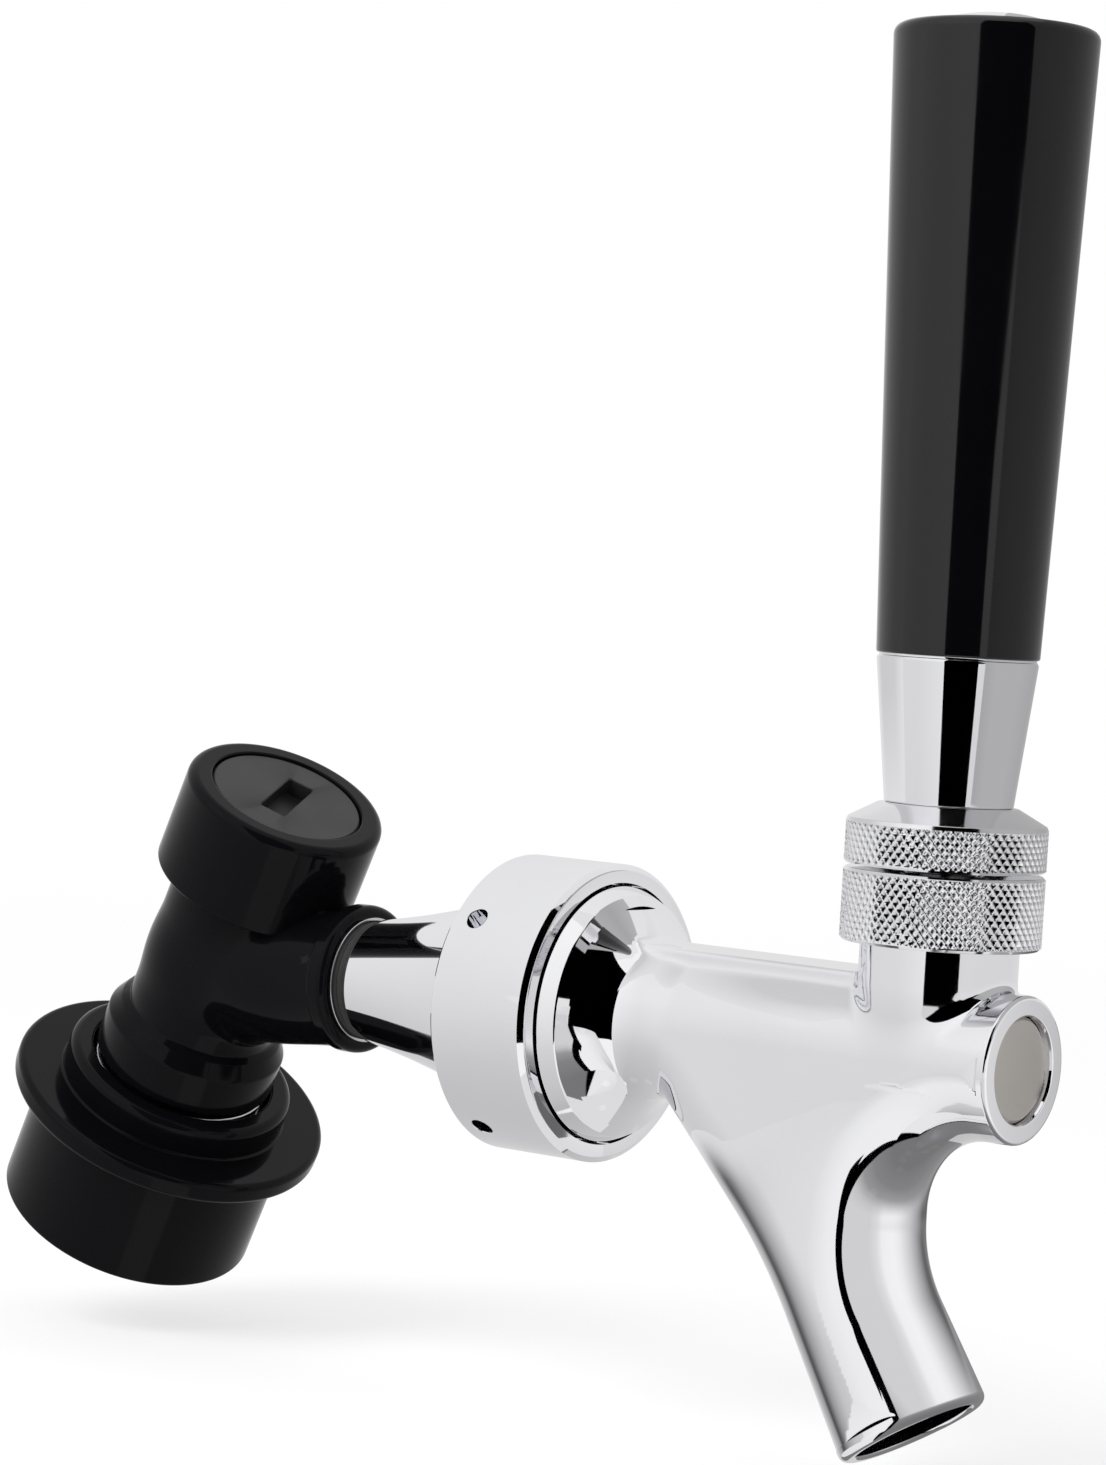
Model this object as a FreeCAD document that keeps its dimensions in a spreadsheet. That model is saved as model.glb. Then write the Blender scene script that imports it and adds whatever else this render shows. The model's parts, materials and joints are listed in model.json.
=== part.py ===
import FreeCAD, Part
import Sketcher
import math
import os
import re

from FreeCAD import Placement, Rotation, Vector

# Lever beer faucet on a keg quick disconnect, joined by a short flared adapter.
# The faucet is laid out from the point where the lever's axis crosses the barrel's axis:
# +Z runs up the handle, -Y towards the drinker, and the keg side lies towards +Y.
# The finished part is moved so that its origin is the mouth of the keg post socket.

doc = FreeCAD.newDocument("beer_faucet")

# Driving sizes in millimetres, angles in degrees
sizes = {
    # Barrel of the faucet body, measured along Y from the lever's axis
    "boss_reach": 12.8,
    "boss_radius": 8.95,
    "boss_chamfer": 0.5,
    "neck_radius": 8.9,
    "bell_start": 36.0,
    "bell_sweep": 10.5,
    "bell_radius": 15.8,
    "bell_front": 45.9,
    "bell_back": 50.6,
    "spigot_radius": 11.5,
    "spigot_length": 6.9,
    "rib_half_width": 4.6,
    "rib_height": 9.8,
    "rib_round": 1.4,
    # Tower that carries the lever's ball
    "tower_radius": 9.6,
    "tower_shoulder": 13.7,
    "tower_thread_radius": 8.9,
    "tower_top": 17.0,
    "tower_bore_radius": 7.4,
    "tower_bore_floor": 9.0,
    # Spout, a straight tip below a gentle bend, with its flank under the barrel
    "spout_radius": 9.6,
    "spout_bore_radius": 7.6,
    "outlet_forward": -0.75,
    "outlet_drop": 45.2,
    "tip_lean": 33.4,
    "tip_length": 10.0,
    "bend_radius": 130.0,
    "bend_length": 34.0,
    "flank_foot": 26.0,
    "flank_half_width": 9.1,
    "flank_slope": 0.915,
    "flank_rear": 21.3,
    "crotch_radius": 10.2,
    "crotch_forward": 9.2,
    "crotch_drop": 19.1,
    # Valve
    "chamber_radius": 6.45,
    "seat_front": 45.6,
    "seat_back": 49.3,
    "throat_radius": 5.2,
    "seat_bore_radius": 8.4,
    "running_gap": 0.06,
    "groove_play": 0.1,
    "edge_chamfer": 0.4,
    "overshoot": 1.0,
    "shaft_recess": 0.7,
    "shaft_head_back": 6.0,
    "shaft_rod_radius": 2.4,
    "guide_front": 35.4,
    "guide_length": 5.0,
    "guide_flat": 4.6,
    "seal_wire": 0.85,
    "seal_setback": 3.2,
    "seat_washer_radius": 7.3,
    "seat_washer_length": 2.6,
    "seat_nut_radius": 4.3,
    "seat_nut_length": 2.2,
    "shaft_tail": 1.0,
    "slot_floor": 1.0,
    # Lever
    "pivot_height": 11.0,
    "ball_radius": 5.4,
    "tip_radius": 2.6,
    "lower_stem_radius": 2.0,
    "upper_stem_radius": 3.0,
    "lever_thread_radius": 4.7,
    "lever_thread_start": 25.8,
    "lever_top": 62.0,
    "swing_gap": 0.3,
    "washer_gap": 0.1,
    "ball_washer_bottom": 12.1,
    "ball_washer_top": 13.9,
    "friction_washer_thickness": 1.4,
    "friction_washer_bore": 5.1,
    # Knurled bonnet and collar
    "knurl_radius": 12.15,
    "knurl_chamfer": 0.35,
    "bonnet_bottom": 13.8,
    "bonnet_top": 22.6,
    "bonnet_mouth": 7.9,
    "bonnet_throat": 5.6,
    "collar_bottom": 23.1,
    "collar_side_top": 28.6,
    "collar_top": 30.6,
    "collar_top_radius": 8.0,
    # Handle
    "ferrule_bottom_radius": 7.75,
    "ferrule_shoulder": 48.4,
    "ferrule_radius": 9.75,
    "ferrule_spigot_radius": 7.0,
    "ferrule_spigot_length": 6.0,
    "grip_base_radius": 9.85,
    "grip_top": 123.2,
    "grip_top_radius": 12.35,
    "grip_round": 1.4,
    "insert_radius": 6.3,
    "insert_length": 14.0,
    "cap_radius": 8.9,
    "cap_dome": 1.8,
    "cap_seat_depth": 1.0,
    # Coupling nut
    "nut_wall": 2.35,
    "nut_front": 47.9,
    "nut_length": 15.0,
    "nut_chamfer": 0.7,
    "nut_mouth_room": 0.9,
    "nut_web_front": 51.2,
    "nut_web_thickness": 2.4,
    "nut_thread_room": 0.1,
    "spanner_hole_radius": 1.55,
    "spanner_hole_setback": 4.0,
    "spanner_hole_turn": 37.5,
    "snap_ring_wire": 1.3,
    "snap_ring_room": 0.5,
    "ring_opening": 25.0,
    "snap_groove_depth": 1.3,
    "coupling_washer_thickness": 1.6,
    # Flared adapter between the faucet and the disconnect
    "adapter_head_step": 2.7,
    "adapter_root_step": 0.2,
    "adapter_length": 27.1,
    "adapter_end_radius": 8.3,
    "adapter_sweep": 160.0,
    "adapter_bore_radius": 4.0,
    "adapter_socket_depth": 11.2,
    "flare_washer_thickness": 1.2,
    "face_seal_step": 0.4,
    "face_seal_thickness": 2.9,
    # Quick disconnect, along its own axis from the point where the arm's axis crosses it
    "disconnect_distance": 114.3,
    "disconnect_lean": 27.9,
    "disconnect_roll": -7.7,
    "trunk_radius": 10.5,
    "trunk_top": 23.4,
    "trunk_shoulder": 8.7,
    "boot_step": 1.7,
    "boot_round": 3.4,
    "boot_crown": 3.0,
    "boot_bottom": 17.2,
    "tube_wall": 2.1,
    "tube_bottom": 41.4,
    "post_bore_radius": 8.8,
    "post_bore_top": 19.0,
    "mouth_relief": 0.2,
    "mouth_length": 5.0,
    "arm_radius": 9.3,
    "arm_seat_depth": 0.9,
    "arm_flange_radius": 9.88,
    "arm_flange_length": 3.0,
    "arm_flange_round": 1.3,
    "arm_seat_room": 0.2,
    "stub_radius": 5.5,
    "stub_tip_wall": 1.2,
    "stub_cone": 2.6,
    "flow_bore_radius": 2.6,
    "poppet_chamber_radius": 6.2,
    "poppet_seat": 12.5,
    "poppet_hole_radius": 3.0,
    "poppet_head_radius": 5.0,
    "poppet_head_length": 5.0,
    "poppet_pin_radius": 1.7,
    "poppet_taper": 1.0,
    "poppet_pin_tip": 24.0,
    "poppet_stem_top": 4.0,
    "poppet_stem_radius": 1.6,
    "poppet_seal_wire": 0.72,
    "poppet_spring_radius": 3.6,
    "poppet_spring_turns": 6,
    "spring_wire": 0.45,
    # Cap of the disconnect
    "cap_shell_wall": 3.14,
    "cap_shell_bottom": 12.7,
    "cap_shell_top": 26.9,
    "cap_shell_round": 1.3,
    "plug_radius": 10.4,
    "plug_thickness": 3.0,
    "plug_sink": 0.3,
    "plug_oring_wire": 0.7,
    "plug_stem_length": 10.0,
    "slot_length": 10.6,
    "slot_width": 3.6,
    "slot_depth": 2.2,
    "slot_turn": 21.0,
    # Locking sleeve
    "sleeve_top": 17.6,
    "hub_wall": 3.0,
    "hub_round": 1.4,
    "flange_overhang": 4.2,
    "flange_top": 22.2,
    "flange_thickness": 3.1,
    "flange_round": 0.9,
    "skirt_wall": 2.3,
    "skirt_bottom": 42.7,
    "sleeve_room": 0.3,
    "sleeve_step_top": 27.8,
    "sleeve_step_bottom": 29.4,
    "sleeve_spring_turns": 4,
    "lock_ball_radius": 2.4,
    "lock_ball_seat": 1.6,
    "lock_ball_height": 33.0,
    "ramp_slope": 0.25,
    "ramp_gap": 0.15,
    "ramp_top": 31.2,
    "ramp_bottom": 38.8,
    "clip_ledge": 1.02,
    "clip_room": 0.4,
    "clip_thickness": 1.1,
    "clip_groove_depth": 0.7,
}

# Sizes that follow from the ones above
following = {
    "adapter_head_radius": "spigot_radius + adapter_head_step",
    "adapter_root_radius": "spigot_radius + adapter_head_step - adapter_root_step",
    "nut_thread_radius": "spigot_radius + adapter_head_step + nut_thread_room",
    "nut_mouth_radius": "bell_radius + nut_mouth_room",
    "nut_radius": "bell_radius + nut_mouth_room + nut_wall",
    "snap_ring_radius": "spigot_radius + adapter_head_step - snap_ring_room",
    "adapter_front": "bell_back + spigot_length + coupling_washer_thickness",
    "adapter_end": "bell_back + spigot_length + coupling_washer_thickness + adapter_length",
    "adapter_socket_radius": "stub_radius + groove_play",
    "adapter_socket_front": "adapter_end - adapter_socket_depth",
    "stub_tip": "adapter_socket_front + flare_washer_thickness + groove_play",
    "stub_tip_radius": "flow_bore_radius + stub_tip_wall",
    "face_seal_radius": "adapter_end_radius - face_seal_step",
    "arm_seat_radius": "adapter_end_radius - face_seal_step + arm_seat_room",
    "arm_face": "adapter_end + face_seal_thickness - arm_seat_depth",
    "mouth_radius": "post_bore_radius + mouth_relief",
    "tube_radius": "post_bore_radius + tube_wall",
    "boot_radius": "post_bore_radius + tube_wall + boot_step",
    "sleeve_bore_radius": "boot_radius + sleeve_room",
    "sleeve_step_radius": "tube_radius + sleeve_room",
    "hub_radius": "sleeve_bore_radius + hub_wall",
    "lock_ball_circle": "post_bore_radius + lock_ball_seat",
    "ramp_foot": "lock_ball_circle + (lock_ball_radius + ramp_gap) * sqrt(1"
               " + ramp_slope^2) + ramp_slope * (ramp_bottom - lock_ball_height)",
    "ramp_head": "lock_ball_circle + (lock_ball_radius + ramp_gap) * sqrt(1"
               " + ramp_slope^2) + ramp_slope * (ramp_top - lock_ball_height)",
    "clip_recess_radius": "ramp_foot + clip_ledge",
    "clip_radius": "clip_recess_radius - clip_room",
    "skirt_radius": "clip_recess_radius + skirt_wall",
    "flange_radius": "skirt_radius + flange_overhang",
    "cap_shell_radius": "trunk_radius + running_gap + cap_shell_wall",
}

sheet = doc.addObject("Spreadsheet::Sheet", "Sizes")
for row, (name, amount) in enumerate(sizes.items(), start=1):
    sheet.set(f"A{row}", name)
    sheet.set(f"B{row}", str(amount))
    sheet.setAlias(f"B{row}", name)
for row, (name, formula) in enumerate(following.items(), start=len(sizes) + 1):
    sheet.set(f"A{row}", name)
    sheet.set(f"B{row}", "=" + formula)
    sheet.setAlias(f"B{row}", name)
doc.recompute()

alias_pattern = re.compile(r"\b(" + "|".join([*sizes, *following]) + r")\b")


def bound(formula):
    """The same formula, reading its names from the sheet."""
    return alias_pattern.sub(r"Sizes.\1", formula)


def size(formula):
    """The value of a formula of the sheet's names."""
    return float(getattr(sheet.evalExpression(formula), "Value", sheet.evalExpression(formula)))


def bind(item, **formulas):
    """Binds properties of an object to formulas."""
    for prop, formula in formulas.items():
        item.setExpression(prop, bound(formula))
    return item


# Frames of the three groups of pieces
along_y = Rotation(Vector(1, 0, 0), -90)
disconnect_turn = Rotation(Vector(0, 1, 0), size("disconnect_roll")) * Rotation(
    Vector(1, 0, 0), size("disconnect_lean"))
disconnect_centre = Vector(0, size("disconnect_distance"), 0)
origin = disconnect_centre + disconnect_turn.multVec(Vector(0, 0, -size("tube_bottom")))
faucet_frame = Placement(-origin, Rotation())
barrel_frame = Placement(-origin, along_y)
disconnect_frame = Placement(disconnect_centre - origin, disconnect_turn)


def origin_plane(body, role):
    """One of a body's own origin planes."""
    return next(f for f in body.Origin.OriginFeatures if f.Role == role)


def sketch_on(body, name, role):
    """An empty sketch on one of the body's own planes."""
    sketch = body.newObject("Sketcher::SketchObject", name)
    sketch.AttachmentSupport = [(origin_plane(body, role), "")]
    sketch.MapMode = "FlatFace"
    return sketch


def pin_point(sketch, geo, pos, across, up):
    """Holds a point at two formulas, across and up from the sketch's origin."""
    for kind, formula in (("DistanceX", across), ("DistanceY", up)):
        number = sketch.addConstraint(Sketcher.Constraint(kind, -1, 1, geo, pos, size(formula)))
        sketch.setExpression(f"Constraints[{number}]", bound(formula))


def arc_between(first, last, radius, side):
    """An arc from first to last whose middle lies to one side of the chord."""
    chord = last - first
    middle = (first + last) * 0.5
    across = Vector(-chord.y, chord.x, 0).normalize() * side
    half = chord.Length / 2
    rise = radius - math.sqrt(radius * radius - half * half)
    return Part.Arc(first, middle + across * rise, last)


def outline(sketch, points):
    """Closed outline through (across, up) formulas; a third and fourth item bend the next edge."""
    spots = [Vector(size(p[0]), size(p[1]), 0) for p in points]
    edges = []
    for i, point in enumerate(points):
        first, last = spots[i], spots[(i + 1) % len(points)]
        if len(point) > 2:
            edges.append(sketch.addGeometry(arc_between(first, last, size(point[2]), point[3])))
        else:
            edges.append(sketch.addGeometry(Part.LineSegment(first, last)))
    for i, point in enumerate(points):
        ends = []
        for number, start_at in ((edges[i], first_is_start(sketch, edges[i], spots[i])),
                                 (edges[i - 1], first_is_start(sketch, edges[i - 1], spots[i]))):
            ends.append((number, 1 if start_at else 2))
        sketch.addConstraint(Sketcher.Constraint("Coincident", *ends[0], *ends[1]))
        pin_point(sketch, *ends[0], point[0], point[1])
        if len(point) > 2:
            number = sketch.addConstraint(Sketcher.Constraint("Radius", edges[i], size(point[2])))
            sketch.setExpression(f"Constraints[{number}]", bound(point[2]))


def first_is_start(sketch, number, spot):
    """Whether an edge's stored start lies at the spot: arcs may be stored reversed."""
    return (sketch.getPoint(number, 1) - spot).Length < (sketch.getPoint(number, 2) - spot).Length


def turned(label, points, frame, sweep="360"):
    """A lathe-turned piece: its half section of (radius, height), turned about the frame's Z."""
    body = doc.addObject("PartDesign::Body", label)
    body.Label = label
    profile = sketch_on(body, label + "_section", "XZ_Plane")
    outline(profile, points)
    turn = body.newObject("PartDesign::Revolution", label + "_turn")
    turn.Profile = profile
    turn.ReferenceAxis = (profile, ["V_Axis"])
    bind(turn, Angle=sweep)
    body.Placement = frame
    doc.recompute()
    return body


def finish_rims(body, kind, rims, formula):
    """Rounds or chamfers the circular edges at (radius, height) of a turned piece."""
    base = body.Tip
    names = []
    for radius, height in rims:
        for i, edge in enumerate(base.Shape.Edges, start=1):
            curve = edge.Curve
            if (hasattr(curve, "Radius") and abs(curve.Radius - size(radius)) < 1e-4
                    and abs(curve.Center.z - size(height)) < 1e-4):
                names.append(f"Edge{i}")
    feature = body.newObject("PartDesign::" + kind, body.Label + "_" + kind.lower())
    feature.Base = (base, names)
    bind(feature, **{"Radius" if kind == "Fillet" else "Size": formula})
    doc.recompute()
    return feature


def primitive(kind, name, frame=None, **formulas):
    """A Part primitive with its sizes bound to the sheet."""
    item = doc.addObject("Part::" + kind, name)
    bind(item, **formulas)
    if frame is not None:
        item.Placement = frame
    return item


def joined(name, parts):
    """The pieces as one solid."""
    item = doc.addObject("Part::MultiFuse", name)
    item.Shapes = parts
    item.Refine = True
    return item


def cut(name, base, tool):
    """The base with the tool taken away."""
    item = doc.addObject("Part::Cut", name)
    item.Base = base
    item.Tool = tool
    return item


def ring(label, centre_radius, wire_radius, height, frame):
    """An O-ring or wire ring of round section."""
    item = primitive("Torus", label, Placement(Vector(0, 0, 0), Rotation()),
                     Radius1=centre_radius, Radius2=wire_radius)
    item.Placement = frame * Placement(Vector(0, 0, size(height)), Rotation())
    item.Label = label
    return item


pieces = []


def spout_station(along):
    """Point of the spout's axis and its lean from the vertical, measured up from the outlet."""
    lean = math.radians(size("tip_lean"))
    straight = min(along, size("tip_length"))
    spot = Vector(0, size("outlet_forward"), -size("outlet_drop"))
    spot += Vector(0, math.sin(lean), math.cos(lean)) * straight
    turned_by = max(along - size("tip_length"), 0) / size("bend_radius")
    radius = size("bend_radius")
    spot += Vector(0, math.cos(lean - turned_by) - math.cos(lean),
                   math.sin(lean) - math.sin(lean - turned_by)) * radius
    return spot, lean - turned_by


def flank_ends(depth):
    """Front and rear of the casting under the barrel, at a depth below the barrel's axis."""
    rise = size("crotch_drop") - depth
    reach = size("crotch_radius") ** 2 - rise ** 2
    front = -size("boss_reach") + size("boss_radius") / 2
    if reach > 0:
        front = max(front, -size("crotch_forward") + math.sqrt(reach))
    rear = size("flank_rear") + size("flank_slope") * (size("flank_foot") - depth)
    return front, rear


def oval(spot, tilt, half_length, half_width):
    """An oval section, long along Y, tilted about X."""
    item = doc.addObject("Part::Ellipse", "casting_section")
    item.MajorRadius = half_length
    item.MinorRadius = half_width
    item.Placement = Placement(spot, Rotation(Vector(1, 0, 0), -math.degrees(tilt))) * Placement(
        Vector(), Rotation(Vector(0, 0, 1), 90))
    return item


def spout_casting():
    """The flat-sided flank under the barrel and the spout it runs into, as one loft."""
    sections = []
    for share in (0.08, 0.32, 0.53, 0.74, 0.95):
        depth = share * size("crotch_drop")
        front, rear = flank_ends(depth)
        sections.append(oval(Vector(0, (front + rear) / 2, -depth), 0, (rear - front) / 2,
                             size("flank_half_width")))
    spout_length = ((size("outlet_drop") - size("crotch_drop"))
                    / math.cos(math.radians(size("tip_lean"))))
    for share in (0.7, 0.42, 0.2, 0):
        spot, lean = spout_station(share * spout_length)
        sections.append(oval(spot, lean, size("spout_radius"), size("spout_radius")))
    loft = doc.addObject("Part::Loft", "spout_loft")
    loft.Sections = sections
    loft.Solid = True
    loft.Ruled = False
    loft.MaxDegree = 3
    return loft


def faucet_body():
    """Cast body: barrel with boss and bell, tower, rib, and the spout."""
    barrel = turned("barrel", [
        ("0", "-boss_reach"),
        ("boss_radius - boss_chamfer", "-boss_reach"),
        ("boss_radius", "-boss_reach + boss_chamfer"),
        ("neck_radius", "bell_start", "bell_sweep", 1),
        ("bell_radius", "bell_front"),
        ("bell_radius", "bell_back"),
        ("spigot_radius", "bell_back"),
        ("spigot_radius", "nut_web_front + nut_web_thickness + washer_gap"),
        ("spigot_radius - snap_groove_depth", "nut_web_front + nut_web_thickness + washer_gap"),
        ("spigot_radius - snap_groove_depth",
         "nut_web_front + nut_web_thickness + snap_ring_wire + 2 * washer_gap"),
        ("spigot_radius", "nut_web_front + nut_web_thickness + snap_ring_wire + 2 * washer_gap"),
        ("spigot_radius", "bell_back + spigot_length"),
        ("0", "bell_back + spigot_length"),
    ], Placement(Vector(0, 0, 0), along_y))
    tower = primitive("Cylinder", "tower", Radius="tower_radius", Height="tower_shoulder")
    tower_thread = primitive("Cylinder", "tower_thread", Radius="tower_thread_radius",
                             Height="tower_top")
    rib = doc.addObject("Part::Box", "rib")
    bind(rib, Length="2 * rib_half_width", Width="bell_front - 4", Height="rib_height")
    rib.Placement = Placement(Vector(-size("rib_half_width"), 0, 0), Rotation())
    doc.recompute()
    rib_round = doc.addObject("Part::Fillet", "rib_round")
    rib_round.Base = rib
    top_edges = [i for i, e in enumerate(rib.Shape.Edges, start=1)
                 if abs(e.CenterOfMass.z - size("rib_height")) < 1e-6
                 and abs(abs(e.CenterOfMass.x) - size("rib_half_width")) < 1e-6]
    rib_round.Edges = [(i, size("rib_round"), size("rib_round")) for i in top_edges]
    outside = joined("body_outside", [barrel, tower, tower_thread, rib_round, spout_casting()])

    chamber = primitive("Cylinder", "chamber",
                        Placement(Vector(0, -size("boss_reach") - 1, 0), along_y),
                        Radius="chamber_radius", Height="seat_front + boss_reach + 1")
    throat = primitive("Cylinder", "throat", Placement(Vector(0, 0, 0), along_y),
                       Radius="throat_radius", Height="seat_back + 1")
    seat_bore = primitive("Cylinder", "seat_bore",
                          Placement(Vector(0, size("seat_back"), 0), along_y),
                          Radius="seat_bore_radius", Height="spigot_length + bell_back")
    tower_bore = primitive("Cylinder", "tower_bore",
                           Placement(Vector(0, 0, size("tower_bore_floor")), Rotation()),
                           Radius="tower_bore_radius", Height="tower_top")
    socket = primitive("Sphere", "ball_socket",
                       Placement(Vector(0, 0, size("pivot_height")), Rotation()),
                       Radius="ball_radius + running_gap")
    stem_hole = primitive("Cylinder", "stem_hole", Radius="ball_radius - 1.2",
                          Height="pivot_height")
    tip, lean = spout_station(0)
    up_spout = Rotation(Vector(1, 0, 0), -math.degrees(lean))
    tip_bore = primitive("Cylinder", "tip_bore",
                         Placement(tip - up_spout.multVec(Vector(0, 0, 1)), up_spout),
                         Radius="spout_bore_radius", Height="tip_length + 1")
    bend_start, lean = spout_station(size("tip_length"))
    bend_centre = bend_start - Vector(0, math.cos(lean), -math.sin(lean)) * size("bend_radius")
    bend = primitive("Torus", "bend_bore", Radius1="bend_radius", Radius2="spout_bore_radius",
                     Angle3="bend_length / bend_radius * 180 / pi")
    bend.Placement = Placement(bend_centre, Rotation(
        Vector(0, math.cos(lean), -math.sin(lean)), Vector(0, math.sin(lean), math.cos(lean)),
        Vector(1, 0, 0), "ZXY"))
    inside = joined("body_inside", [chamber, throat, seat_bore, tower_bore, socket, stem_hole,
                                    tip_bore, bend])
    body = cut("faucet_body", outside, inside)
    body.Placement = faucet_frame
    pieces.append(body)


def washer(label, inner, outer, low, high, frame):
    """A flat ring between two heights."""
    body = turned(label, [(inner, low), (outer, low), (outer, high), (inner, high)], frame)
    pieces.append(body)
    return body


def pocket(body, name, role, offset, draw, length, away=False, both=False):
    """A pocket from a sketch laid at an offset from one of the body's planes; it must cut."""
    before = body.Shape.Volume
    sketch = sketch_on(body, name + "_sketch", role)
    sketch.AttachmentOffset = Placement(Vector(0, 0, size(offset)), Rotation())
    draw(sketch)
    feature = body.newObject("PartDesign::Pocket", name)
    feature.Profile = sketch
    feature.Midplane = both
    feature.Reversed = away
    bind(feature, Length=length)
    doc.recompute()
    if feature.Shape.Volume > before - 1e-6:
        raise ValueError(name + " cuts nothing")
    return feature


def box_outline(low_across, high_across, low_up, high_up):
    """Draws a rectangle between formulas."""
    def draw(sketch):
        outline(sketch, [(low_across, low_up), (high_across, low_up),
                         (high_across, high_up), (low_across, high_up)])
    return draw


def circle_outline(across, up, radius):
    """Draws a circle at formulas."""
    def draw(sketch):
        centre = Vector(size(across), size(up), 0)
        number = sketch.addGeometry(Part.Circle(centre, Vector(0, 0, 1), size(radius)))
        pin_point(sketch, number, 3, across, up)
        rule = sketch.addConstraint(Sketcher.Constraint("Radius", number, size(radius)))
        sketch.setExpression(f"Constraints[{rule}]", bound(radius))
    return draw


def bonnet_group():
    """The washers over the lever's ball and the knurled bonnet that presses them down."""
    fit = "(tower_bore_radius - washer_gap)"
    cup = "(ball_radius + running_gap)"
    low, high = "ball_washer_bottom", "ball_washer_top"
    pieces.append(turned("ball_washer", [
        (f"sqrt({cup}^2 - ({low} - pivot_height)^2)", low),
        (fit, low), (fit, high),
        (f"sqrt({cup}^2 - ({high} - pivot_height)^2)", high, cup, 1),
    ], faucet_frame))
    nose = "(ball_washer_top + friction_washer_thickness)"
    washer("friction_washer", "friction_washer_bore", fit, high, nose, faucet_frame)
    thread = "tower_thread_radius + running_gap"
    pieces.append(turned("bonnet", [
        (thread, "bonnet_bottom"),
        ("knurl_radius - knurl_chamfer", "bonnet_bottom"),
        ("knurl_radius", "bonnet_bottom + knurl_chamfer"),
        ("knurl_radius", "bonnet_top - knurl_chamfer"),
        ("knurl_radius - knurl_chamfer", "bonnet_top"),
        ("bonnet_mouth", "bonnet_top"),
        ("bonnet_throat", nose),
        (fit, nose),
        (fit, "tower_top + washer_gap"),
        (thread, "tower_top + washer_gap"),
    ], faucet_frame))


def lever_group():
    """Lever with its pivot ball, knurled collar and handle."""
    upright = Rotation()
    ball = primitive("Sphere", "pivot_ball",
                     Placement(Vector(0, 0, size("pivot_height")), upright), Radius="ball_radius")
    tip = primitive("Sphere", "lever_tip", Radius="tip_radius")
    low_stem = primitive("Cylinder", "lower_stem", Radius="lower_stem_radius",
                         Height="pivot_height")
    high_stem = primitive("Cylinder", "upper_stem",
                          Placement(Vector(0, 0, size("pivot_height")), upright),
                          Radius="upper_stem_radius", Height="lever_thread_start - pivot_height")
    thread = primitive("Cylinder", "lever_thread",
                       Placement(Vector(0, 0, size("lever_thread_start")), upright),
                       Radius="lever_thread_radius", Height="lever_top - lever_thread_start")
    lever = joined("lever", [ball, tip, low_stem, high_stem, thread])
    lever.Placement = faucet_frame
    pieces.append(lever)

    hollow = ("(sqrt((knurl_radius - knurl_chamfer)^2 + (bonnet_top - pivot_height)^2)"
              " + swing_gap)")
    thread_hole = "(lever_thread_radius + running_gap)"
    pieces.append(turned("lever_collar", [
        (f"sqrt({hollow}^2 - (collar_bottom - pivot_height)^2)", "collar_bottom"),
        ("knurl_radius", "collar_bottom"),
        ("knurl_radius", "collar_side_top - knurl_chamfer"),
        ("knurl_radius - knurl_chamfer", "collar_side_top"),
        ("collar_top_radius", "collar_top"),
        (thread_hole, "collar_top"),
        (thread_hole, f"pivot_height + sqrt({hollow}^2 - {thread_hole}^2)", hollow, 1),
    ], faucet_frame))
    spigot_top = "(ferrule_shoulder + ferrule_spigot_length)"
    pieces.append(turned("handle_ferrule", [
        (thread_hole, "collar_top"),
        ("ferrule_bottom_radius", "collar_top"),
        ("ferrule_radius", "ferrule_shoulder"),
        ("ferrule_spigot_radius", "ferrule_shoulder"),
        ("ferrule_spigot_radius", spigot_top),
        (thread_hole, spigot_top),
    ], faucet_frame))
    insert_top = f"({spigot_top} + insert_length)"
    washer("handle_insert", thread_hole, "insert_radius", spigot_top, insert_top, faucet_frame)
    grip = turned("handle_grip", [
        ("0", insert_top),
        ("insert_radius + running_gap", insert_top),
        ("insert_radius + running_gap", spigot_top),
        ("ferrule_spigot_radius + running_gap", spigot_top),
        ("ferrule_spigot_radius + running_gap", "ferrule_shoulder"),
        ("grip_base_radius", "ferrule_shoulder"),
        ("grip_top_radius", "grip_top"),
        ("cap_radius + running_gap", "grip_top"),
        ("cap_radius + running_gap", "grip_top - cap_seat_depth"),
        ("0", "grip_top - cap_seat_depth"),
    ], faucet_frame)
    finish_rims(grip, "Fillet", [("grip_top_radius", "grip_top")], "grip_round")
    pieces.append(grip)
    dome = "((cap_radius^2 + cap_dome^2) / (2 * cap_dome))"
    pieces.append(turned("handle_cap", [
        ("0", "grip_top - cap_seat_depth"),
        ("cap_radius", "grip_top - cap_seat_depth"),
        ("cap_radius", "grip_top", dome, -1),
        ("0", "grip_top + cap_dome"),
    ], faucet_frame))


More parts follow.
